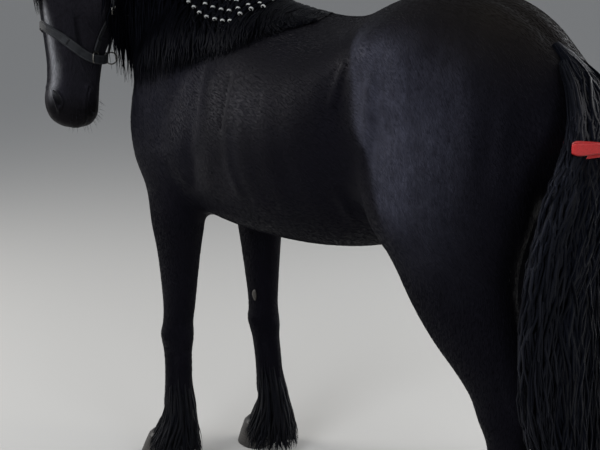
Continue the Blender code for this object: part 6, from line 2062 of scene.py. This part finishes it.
def bar(a, b, r, k=9, steps=3):
    v, f = tube(np.linspace(a, b, steps), r, k, False, arr(0.3, 0.5, 0.8))
    m = steps
    f += [tuple(range(k)), tuple((m - 1) * k + j for j in reversed(range(k)))]
    metal.add(v, f)


for side in (1, -1):
    # the square ring where cheek strap and noseband meet
    c, d = cheek_at(-0.035, side, 0.0052)
    c2, _ = cheek_at(0.10, side, 0.0052)
    hoop(c, d, c2 - c, 0.0175, 0.0165, 0.0021, 3.6)
    # where the throat strap meets the cheek strap
    c, d = cheek_at(0.70, side, 0.0050)
    c2, _ = cheek_at(0.86, side, 0.0050)
    hoop(c, d, c2 - c, 0.0150, 0.0125, 0.0019, 3.2)
# the ring under the jaw
c, d = head_hit(0.432, 180, 0.030)
hoop(c, LEFT, AXIS, 0.0190, 0.0190, 0.0023)
# buckle on the near cheek strap, with its tongue
c, d = cheek_at(0.40, 1, 0.0066)
c2, _ = cheek_at(0.50, 1, 0.0066)
upw = unit(c2 - c)
hoop(c, d, upw, 0.0165, 0.0125, 0.0019, 4.0)
sidew = np.cross(d, upw)
bar(c - sidew * 0.0155, c + sidew * 0.0155, 0.0016)
bar(c - upw * 0.0002 + d * 0.0010, c + upw * 0.0135 + d * 0.0022, 0.0013)
for v_ in (0.535, 0.600):
    q, dd = cheek_at(v_, 1, 0.0066)
    for s_ in (-1,):
        bar(q + dd * 0.0000, q + dd * 0.0008, 0.0022)
c, d = cheek_at(0.475, 1, 0.0055)
c2, _ = cheek_at(0.52, 1, 0.0055)
upw = unit(c2 - c)
halter_metal = metal.make("halter_metal")

# ---------------------------------------------------------------- what stands for what
body_nodes = ["trunk", "neck", "head", "ear_left", "ear_right", "foreleg_left", "foreleg_right", "hindleg_left", "hindleg_right"]
PIECES = [(body, body_nodes, "coat")] + [(obj, [], "coat") for obj in coat_pieces]
PIECES += [(tail_locks, ["tail"], "long_hair"), (tail_core, [], "long_hair"), (tail_side_locks, [], "long_hair"), (ribbon, ["tail_ribbon"], "ribbon"),
           (mane_loose, ["mane"], "long_hair"), (mane_net, [], "long_hair"), (mane_crest, [], "long_hair"), (mane_poll, [], "long_hair"),
           (elastics, ["mane_bands"], "mane_bands"), (forelock, ["forelock"], "long_hair"),
           (halter_straps, ["halter"], "halter"), (halter_metal, [], "halter"),
           (eyeballs[0], ["eye_left"], "eye"), (eyeballs[1], ["eye_right"], "eye"),
           (lid_rims, [], "coat"), (lashes, [], "coat"), (whiskers, [], "coat"), (ear_hair, [], "coat"), (chestnuts, [], "horn")]
for k, (side_name, sign, fs, hs) in enumerate(SIDES):
    for j, which in enumerate(("fore", "hind")):
        PIECES.append((feathers[2 * k + j], ["feather_%s_%s" % (which, side_name)], "long_hair"))
        PIECES.append((hooves[2 * k + j], ["hoof_%s_%s" % (which, side_name)], "horn"))
set_uv(body.data, "OFBake", chart(SKIN))
add_colour(body.data, "coat", coat_colour_and_painted_sheen(SKIN) * 0.9)

# ---------------------------------------------------------------- materials
def new_material(name):
    mat = bpy.data.materials.new(name)
    mat.use_nodes = True
    nodes, links = mat.node_tree.nodes, mat.node_tree.links
    return mat, nodes, links, nodes["Principled BSDF"]


def noise(nodes, links, vector, scale, detail=3.0, rough=0.55, stretch=None, rotate=None):
    if stretch is not None:
        m = nodes.new("ShaderNodeMapping")
        m.inputs["Scale"].default_value = stretch
        if rotate is not None:
            m.inputs["Rotation"].default_value = rotate
        links.new(vector, m.inputs["Vector"])
        vector = m.outputs["Vector"]
    n = nodes.new("ShaderNodeTexNoise")
    n.inputs["Scale"].default_value = scale
    n.inputs["Detail"].default_value = detail
    n.inputs["Roughness"].default_value = rough
    links.new(vector, n.inputs["Vector"])
    return n.outputs["Fac"]


def math_node(nodes, links, op, a, b=None):
    n = nodes.new("ShaderNodeMath")
    n.operation = op
    for k, v in enumerate((a, b)):
        if v is None:
            continue
        if isinstance(v, (int, float)):
            n.inputs[k].default_value = v
        else:
            links.new(v, n.inputs[k])
    return n.outputs[0]


def ramp(nodes, links, fac, stops):
    n = nodes.new("ShaderNodeValToRGB")
    while len(n.color_ramp.elements) < len(stops):
        n.color_ramp.elements.new(0.5)
    for e, (pos, col) in zip(n.color_ramp.elements, stops):
        e.position = pos
        e.color = (*col, 1) if len(col) == 3 else col
    links.new(fac, n.inputs["Fac"])
    return n.outputs["Color"]


def mix_colour(nodes, links, fac, a, b, blend="MIX"):
    n = nodes.new("ShaderNodeMix")
    n.data_type = "RGBA"
    n.blend_type = blend
    for sock, v in ((n.inputs[0], fac), (n.inputs[6], a), (n.inputs[7], b)):
        if isinstance(v, (int, float)):
            sock.default_value = v
        elif isinstance(v, tuple):
            sock.default_value = (*v, 1)
        else:
            links.new(v, sock)
    return n.outputs[2]


def attribute(nodes, name, out="Color"):
    n = nodes.new("ShaderNodeAttribute")
    n.attribute_name = name
    return n.outputs[out]


def bump_node(nodes, links, height, strength, distance, normal=None):
    n = nodes.new("ShaderNodeBump")
    n.inputs["Strength"].default_value = strength
    n.inputs["Distance"].default_value = distance
    links.new(height, n.inputs["Height"])
    if normal is not None:
        links.new(normal, n.inputs["Normal"])
    return n.outputs["Normal"]


def coat_material(name, fine):
    """Short black hair: fine streaks along the lie, and a cool sheen."""
    mat, nodes, links, shader = new_material(name)
    obj_co = nodes.new("ShaderNodeTexCoord").outputs["Object"]
    down = attribute(nodes, "down", "Fac")
    back = noise(nodes, links, obj_co, 1.0, 4.0, 0.6, (520, 60, 520), (0.35, 0, 0))
    fall = noise(nodes, links, obj_co, 1.0, 4.0, 0.6, (520, 520, 60))
    streak = nodes.new("ShaderNodeMix")
    links.new(down, streak.inputs[0])
    links.new(back, streak.inputs[2])
    links.new(fall, streak.inputs[3])
    streak = streak.outputs[0]
    clump = noise(nodes, links, obj_co, 1.0, 3.0, 0.6, (150, 50, 90))
    soft = noise(nodes, links, obj_co, 9.0, 4.0)
    colour = attribute(nodes, "coat")
    grey = ramp(nodes, links, streak, [(0.30, (0.55, 0.55, 0.55)), (0.72, (1.55, 1.55, 1.62))])
    colour = mix_colour(nodes, links, 1.0, colour, grey, "MULTIPLY")
    dust = ramp(nodes, links, soft, [(0.35, (0.86, 0.86, 0.86)), (0.70, (1.18, 1.17, 1.15))])
    colour = mix_colour(nodes, links, 1.0, colour, dust, "MULTIPLY")
    links.new(colour, shader.inputs["Base Color"])
    shader.inputs["Roughness"].default_value = 0.50
    rough = ramp(nodes, links, clump, [(0.3, (0.40, 0.40, 0.40)), (0.7, (0.58, 0.58, 0.58))])
    links.new(rough, shader.inputs["Roughness"])
    shader.inputs["Specular IOR Level"].default_value = 0.043
    shader.inputs["Specular Tint"].default_value = (0.76, 0.73, 1.0, 1)
    shader.inputs["Sheen Weight"].default_value = 0.007
    shader.inputs["Sheen Roughness"].default_value = 0.45
    shader.inputs["Sheen Tint"].default_value = (0.72, 0.80, 1.0, 1)
    height = math_node(nodes, links, "ADD", streak, math_node(nodes, links, "MULTIPLY", clump, 0.40))
    links.new(bump_node(nodes, links, height, 0.34 if fine else 0.22, 0.0010), shader.inputs["Normal"])
    return mat


def hair_material(name, base, tip, rough=0.42, sheen=0.04, shine=0.16):
    """Long hair: fine strands across each lock, its tone changing from lock to lock."""
    mat, nodes, links, shader = new_material(name)
    across = attribute(nodes, "across", "Fac")
    along = attribute(nodes, "along", "Fac")
    ident = attribute(nodes, "ident", "Fac")
    vec = nodes.new("ShaderNodeCombineXYZ")
    links.new(math_node(nodes, links, "MULTIPLY", across, 5.5), vec.inputs[0])
    links.new(math_node(nodes, links, "MULTIPLY", along, 9.0), vec.inputs[1])
    links.new(math_node(nodes, links, "MULTIPLY", ident, 57.0), vec.inputs[2])
    strand = noise(nodes, links, vec.outputs[0], 1.0, 4.0, 0.6)
    tone = math_node(nodes, links, "FRACT", math_node(nodes, links, "MULTIPLY", ident, 7.13))
    mix = math_node(nodes, links, "MULTIPLY", tone, strand)
    colour = ramp(nodes, links, mix, [(0.02, base), (0.62, tip)])
    links.new(colour, shader.inputs["Base Color"])
    shader.inputs["Roughness"].default_value = rough
    shader.inputs["Specular IOR Level"].default_value = shine
    shader.inputs["Specular Tint"].default_value = (0.64, 0.70, 1.0, 1)
    shader.inputs["Sheen Weight"].default_value = sheen
    shader.inputs["Sheen Roughness"].default_value = 0.4
    shader.inputs["Sheen Tint"].default_value = (0.70, 0.80, 1.0, 1)
    links.new(bump_node(nodes, links, strand, 0.8, 0.0012), shader.inputs["Normal"])
    return mat


def webbing_material():
    mat, nodes, links, shader = new_material("halter_webbing")
    co = nodes.new("ShaderNodeTexCoord").outputs["Object"]
    u = attribute(nodes, "strap_u", "Fac")
    v = attribute(nodes, "strap_v", "Fac")
    wave_u = math_node(nodes, links, "SINE", math_node(nodes, links, "MULTIPLY", u, 2600.0))
    wave_v = math_node(nodes, links, "SINE", math_node(nodes, links, "MULTIPLY", v, 1900.0))
    weave = math_node(nodes, links, "MULTIPLY", wave_u, wave_v)
    wear = noise(nodes, links, co, 60.0, 4.0)
    colour = ramp(nodes, links, wear, [(0.30, (0.0065, 0.0070, 0.0085)), (0.75, (0.019, 0.020, 0.0235))])
    dash = math_node(nodes, links, "GREATER_THAN", math_node(nodes, links, "SINE", math_node(nodes, links, "MULTIPLY", u, 1500.0)), -0.35)
    stitch = math_node(nodes, links, "MULTIPLY", attribute(nodes, "stitch", "Fac"), dash)
    colour = mix_colour(nodes, links, stitch, colour, (0.060, 0.060, 0.066))
    links.new(colour, shader.inputs["Base Color"])
    shader.inputs["Roughness"].default_value = 0.62
    shader.inputs["Specular IOR Level"].default_value = 0.30
    height = math_node(nodes, links, "ADD", weave, math_node(nodes, links, "MULTIPLY", wear, 1.2))
    links.new(bump_node(nodes, links, height, 0.35, 0.0006), shader.inputs["Normal"])
    return mat


def simple_material(name, dark, light, rough, metal=0.0, scale=40.0, bump_by=0.2, distance=0.0006, coat=0.0, stretch=None, shine=0.5):
    mat, nodes, links, shader = new_material(name)
    co = nodes.new("ShaderNodeTexCoord").outputs["Object"]
    f = noise(nodes, links, co, scale, 4.0, 0.55, stretch)
    links.new(ramp(nodes, links, f, [(0.32, dark), (0.70, light)]), shader.inputs["Base Color"])
    r = ramp(nodes, links, f, [(0.3, (rough * 0.85,) * 3), (0.7, (min(rough * 1.2, 1.0),) * 3)])
    links.new(r, shader.inputs["Roughness"])
    shader.inputs["Metallic"].default_value = metal
    shader.inputs["Specular IOR Level"].default_value = shine
    if coat:
        shader.inputs["Coat Weight"].default_value = coat
        shader.inputs["Coat Roughness"].default_value = 0.05
    links.new(bump_node(nodes, links, f, bump_by, distance), shader.inputs["Normal"])
    return mat


def horn_material():
    """Dark hoof horn with growth rings, and paler vertical grain near the ground."""
    mat, nodes, links, shader = new_material("hoof_horn")
    co = nodes.new("ShaderNodeTexCoord").outputs["Object"]
    rings = noise(nodes, links, co, 1.0, 3.0, 0.5, (7, 7, 170))
    grain = noise(nodes, links, co, 1.0, 4.0, 0.6, (260, 260, 12))
    mix = math_node(nodes, links, "ADD", math_node(nodes, links, "MULTIPLY", rings, 0.65), math_node(nodes, links, "MULTIPLY", grain, 0.35))
    links.new(ramp(nodes, links, mix, [(0.32, (0.012, 0.011, 0.011)), (0.55, (0.032, 0.028, 0.025)), (0.75, (0.075, 0.065, 0.055))]), shader.inputs["Base Color"])
    shader.inputs["Roughness"].default_value = 0.50
    links.new(bump_node(nodes, links, mix, 0.5, 0.0015), shader.inputs["Normal"])
    return mat


def eye_material():
    """Dark brown iris with a wide, level pupil, under a wet clear front."""
    mat, nodes, links, shader = new_material("eyeball")
    a = attribute(nodes, "eye_a", "Fac")
    b = attribute(nodes, "eye_b", "Fac")
    vec = nodes.new("ShaderNodeCombineXYZ")
    links.new(a, vec.inputs[0])
    links.new(math_node(nodes, links, "MULTIPLY", b, 1.9), vec.inputs[1])
    length = nodes.new("ShaderNodeVectorMath")
    length.operation = "LENGTH"
    links.new(vec.outputs[0], length.inputs[0])
    pupil = length.outputs["Value"]
    ring = nodes.new("ShaderNodeCombineXYZ")
    links.new(a, ring.inputs[0])
    links.new(b, ring.inputs[1])
    iris_len = nodes.new("ShaderNodeVectorMath")
    iris_len.operation = "LENGTH"
    links.new(ring.outputs[0], iris_len.inputs[0])
    fleck = noise(nodes, links, vec.outputs[0], 900.0, 3.0)
    iris = ramp(nodes, links, fleck, [(0.3, (0.0075, 0.0034, 0.0020)), (0.7, (0.0210, 0.0092, 0.0044))])
    white = (0.016, 0.011, 0.010)
    edge = ramp(nodes, links, math_node(nodes, links, "MULTIPLY", iris_len.outputs["Value"], 40.0), [(0.52, (0, 0, 0)), (0.60, (1, 1, 1))])
    colour = mix_colour(nodes, links, edge, iris, white)
    hole = ramp(nodes, links, math_node(nodes, links, "MULTIPLY", pupil, 40.0), [(0.28, (1, 1, 1)), (0.34, (0, 0, 0))])
    colour = mix_colour(nodes, links, hole, colour, (0.002, 0.003, 0.006))
    links.new(colour, shader.inputs["Base Color"])
    shader.inputs["Roughness"].default_value = 0.16
    shader.inputs["Coat Weight"].default_value = 0.55
    shader.inputs["Specular IOR Level"].default_value = 0.30
    shader.inputs["Coat Roughness"].default_value = 0.02
    return mat


def give(obj, mat):
    obj.data.materials.clear()
    obj.data.materials.append(mat)


def paint_pieces():
    hair = hair_material("mane_hair", (0.0007, 0.0007, 0.0011), (0.0036, 0.0036, 0.0052), 0.42, 0.004, 0.062)
    loose = hair_material("mane_loose_hair", (0.0006, 0.0006, 0.0010), (0.0026, 0.0026, 0.0040), 0.46, 0.002, 0.038)
    tail_hair = hair_material("tail_hair", (0.0006, 0.0007, 0.0014), (0.0042, 0.0048, 0.0078), 0.44, 0.004, 0.055)
    feather_hair = hair_material("feather_hair", (0.0010, 0.0010, 0.0012), (0.0062, 0.0056, 0.0054), 0.50, 0.006, 0.110)
    lash_hair = hair_material("lash_hair", (0.004, 0.004, 0.005), (0.012, 0.012, 0.014), 0.40)
    for obj in (mane_net, mane_crest):
        give(obj, hair)
    for obj in (mane_loose, mane_poll, forelock):
        give(obj, loose)
    for obj in (tail_locks, tail_core):
        give(obj, tail_hair)
    give(tail_side_locks, hair_material("tail_side_hair", (0.0010, 0.0011, 0.0018), (0.0120, 0.0125, 0.0165), 0.40, 0.008, 0.085))
    for obj in feathers:
        give(obj, feather_hair)
    for obj in (lashes, whiskers, ear_hair):
        give(obj, lash_hair)
    horn = horn_material()
    for obj in hooves:
        give(obj, horn)
    give(chestnuts, simple_material("chestnut_horn", (0.020, 0.018, 0.016), (0.060, 0.052, 0.045), 0.6, 0.0, 260.0, 0.8, 0.0012))
    ball = eye_material()
    for obj in eyeballs:
        give(obj, ball)
    give(lid_rims, simple_material("lid_skin", (0.003, 0.003, 0.004), (0.009, 0.008, 0.008), 0.36, 0.0, 500.0, 0.4, 0.0004, 0.0, None, 0.22))
    give(ribbon, simple_material("red_satin", (0.32, 0.010, 0.012), (0.62, 0.028, 0.026), 0.34, 0.0, 1.0, 0.35, 0.0005, 0.0, (260, 260, 1600)))
    give(elastics, simple_material("white_elastic", (0.36, 0.36, 0.35), (0.54, 0.54, 0.52), 0.48, 0.0, 420.0, 0.3, 0.0004))
    give(halter_straps, webbing_material())
    give(halter_metal, simple_material("dull_metal", (0.10, 0.095, 0.085), (0.30, 0.285, 0.255), 0.38, 1.0, 180.0, 0.25, 0.0004))


# how far the coat's streaks run downwards rather than backwards
lie = lie_of(SKIN)
add_float(body.data, "down", np.clip(np.abs(lie[:, 2]) * 1.5 - 0.35, 0, 1))
for obj in coat_pieces:
    c = coords(obj.data)
    add_float(obj.data, "down", np.clip(np.abs(lie_of(c)[:, 2]) * 1.5 - 0.35, 0, 1))

paint_pieces()
SKIN_PAINT = coat_material("coat_skin", True)
TUFT_PAINT = coat_material("coat_tufts", False)
give(body, SKIN_PAINT)
for obj in coat_pieces:
    give(obj, TUFT_PAINT)


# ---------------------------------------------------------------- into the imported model's frame
def home(obj):
    put(obj.data, coords(obj.data) + arr(*ORIGIN))
    return obj


for obj, nodes_, slot_ in PIECES:
    home(obj)
    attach(obj, "root")
    if nodes_:
        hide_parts(*nodes_)

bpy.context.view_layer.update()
total = 0
for obj, nodes_, slot_ in PIECES:
    obj.data.calc_loop_triangles()
    total += len(obj.data.loop_triangles)
print("TOTAL triangles", total)
